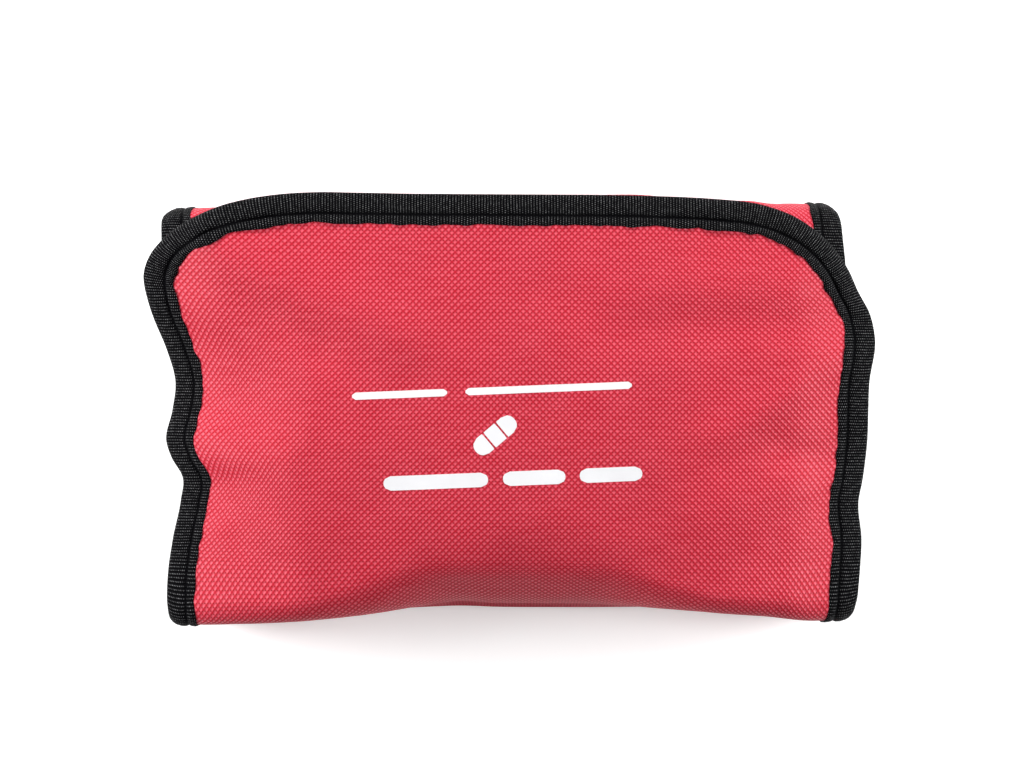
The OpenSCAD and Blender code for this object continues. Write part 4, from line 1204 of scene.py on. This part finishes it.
turns = [(x0 + 0.4 if i % 2 else x1 - 0.4 - 0.3 * i, (y0 + y1) / 2, z0 + 0.15 + 0.28 * i) for i in range(7)]
part = ribbon(in_slip, rounded_path(turns, 0.25, 3), (0, y1 - y0, 0), 0.12)
piece("folded_leaflet", [part], "leaflet", "leaflet_paper", "front_flap", "guide_leaflet")

# Printed bars: x from and to, y, height. Then the pictogram of a plaster: x from and to, corner radii
INK = level(-0.03, 0.07)
BARS = [(-50.6, -20.3, 5.4, 2.3), (-14.6, 38.3, 5.4, 2.3),
        (-41.8, -8.5, -22.8, 4.6), (-3.8, 16.1, -22.8, 4.6), (20.6, 40.5, -22.8, 4.6)]
PLASTER = [(-8, -2.9, (2.9, .1)), (-2.3, 2.3, (.1, .1)), (2.9, 8, (.1, 2.9))]
ink = [pad(printed, (x0, x1, y - h / 2, y + h / 2), INK, [h / 2 - .01] * 2, 0.6) for x0, x1, y, h in BARS]
ink += [pad(slanted, (x0, x1, -3.1, 3.1), INK, corner, 0.6) for x0, x1, corner in PLASTER]
piece("flap_print", ink, "print", "white_print", "front_flap")

# ---------------- inner flap

loop = corners("loop_strip")
part = pad(on_inner, outline(loop), level(loop[0][2], loop[1][2] - 0.5, 0.1, 6, 61.0))
piece("loop_tape", [part], "loop", "hook_and_loop", "inner_flap", "loop_strip")
KEEPER_T = 0.8


def keeper(box):
    """Elastic strap over a tool, along the longer side of its box, with a sewn foot at each end."""
    (x0, y0, z0), (x1, y1, z1) = box
    low, top = z0 + KEEPER_T / 2, z1 - KEEPER_T / 2
    along_y = y1 - y0 > x1 - x0
    a0, a1 = (y0, y1) if along_y else (x0, x1)
    foot = 4 + KEEPER_T / 2
    path = [(a0, top), (a0 + foot, top), (a0 + foot, low), (a1 - foot, low), (a1 - foot, top), (a1, top)]
    if along_y:
        path, width = [((x0 + x1) / 2, a, z) for a, z in path], (x1 - x0, 0, 0)
    else:
        path, width = [(a, (y0 + y1) / 2, z) for a, z in path], (0, y1 - y0, 0)
    return ribbon(held, rounded_path(path, 1.4, 1.2), width, KEEPER_T * 0.9)


piece("scissors_elastic", [keeper(box) for box in solids("scissors_keepers")], "elastic", "elastic_black",
      "inner_flap", "scissors_keepers")
piece("tweezers_elastic", [keeper(corners("tweezers_keeper"))], "elastic", "elastic_black", "inner_flap",
      "tweezers_keeper")

# ---------------- finish of the CAD pieces that stay

FINISHES = [
    (brushed("dark_zip_metal", (0.10, 0.10, 0.11), 0.34), ["zip_slider", "zip_pull"]),
    (brushed("brushed_steel", (0.72, 0.73, 0.75), 0.25),
     ["bandage_clips", "tweezers_fixed_arm", "tweezers_moving_arm"]),
    (brushed("polished_steel", (0.80, 0.80, 0.81), 0.16),
     ["safety_pins", "scissors_fixed_half", "scissors_moving_half", "scissors_rivet"]),
    (plain("handle_plastic", grey(0.012, 0.001), grey(0.020, 0.002), 5, 0.42, 0.05, 0.35),
     ["scissors_fixed_bow", "scissors_moving_bow"]),
    (MAT["spool"], ["tape_spool"]),
]
for finish, names in FINISHES:
    for name in names:
        for material_slot in NODES[name].material_slots:
            material_slot.material = finish

# ---------------- floor, light and camera

CAMERA_Y = 7.3
CAMERA_Z = 705.0        # above the table, so 655 mm above the flap
LENS = 72.8             # with a 36 mm sensor, 3.16 pixels per millimetre in the flap's plane


def shown_by(tree):
    """1 for the rays that show the background: camera, glossy and transmission rays."""
    path = tree.nodes.new("ShaderNodeLightPath")
    total = path.outputs["Is Camera Ray"]
    for ray in ("Is Glossy Ray", "Is Transmission Ray"):
        larger = tree.nodes.new("ShaderNodeMath")
        larger.operation = "MAXIMUM"
        tree.links.new(total, larger.inputs[0])
        tree.links.new(path.outputs[ray], larger.inputs[1])
        total = larger.outputs[0]
    return total


def make_floor():
    size = 3000
    ends = [(x * size, y * size, 0) for x, y in ((-1, -1), (1, -1), (1, 1), (-1, 1))]
    floor = make_mesh("floor", ends, [(0, 1, 2, 3)])
    m = Shader("white_table")
    x, y, _ = m.split(m.place())
    away = m.math("SQRT", m.add(m.mul(x, x), m.mul(y, y)))
    m.set(Base_Color=grey(0.86), Roughness=0.9, Specular_IOR_Level=0.1, Emission_Color=grey(1.0),
          Emission_Strength=m.mul(shown_by(m.tree), m.range(away, 250, 800, 0.42, 0.95)))
    floor.data.materials.append(m.material)


def area_light(name, place, size, power):
    """Soft lamp aimed at the middle of the pouch."""
    data = bpy.data.lights.new(name, "AREA")
    data.shape, data.size, data.size_y = "RECTANGLE", size[0] * MM, size[1] * MM
    data.energy = power
    light = linked(name, data)
    light.location = [c * MM for c in place]
    toward = Vector((0, 0, FLAP_TOP / 2)) - Vector(place)
    light.rotation_euler = toward.to_track_quat("-Z", "Y").to_euler()
    light.visible_camera = False


def make_world():
    world = bpy.data.worlds.new("studio")
    world.use_nodes = True
    tree = world.node_tree
    background = tree.nodes["Background"]
    background.inputs["Color"].default_value = (1, 1, 1, 1)
    strength = tree.nodes.new("ShaderNodeMapRange")
    strength.inputs["To Min"].default_value, strength.inputs["To Max"].default_value = 0.20, 1.0
    tree.links.new(shown_by(tree), strength.inputs["Value"])
    tree.links.new(strength.outputs[0], background.inputs["Strength"])
    bpy.context.scene.world = world


def make_camera():
    data = bpy.data.cameras.new("camera")
    data.lens, data.sensor_width = LENS, 36
    data.clip_start, data.clip_end = 0.01, 20
    camera = linked("camera", data)
    camera.location = (0, CAMERA_Y * MM, CAMERA_Z * MM)
    bpy.context.scene.camera = camera


make_floor()
area_light("light_far", (0, 520, 270), (500, 160), 3.4)
area_light("light_left", (-400, 20, 230), (120, 300), 2.1)
area_light("light_right", (400, 10, 210), (120, 300), 1.7)
make_world()
make_camera()
bpy.context.scene.view_settings.view_transform = "Standard"
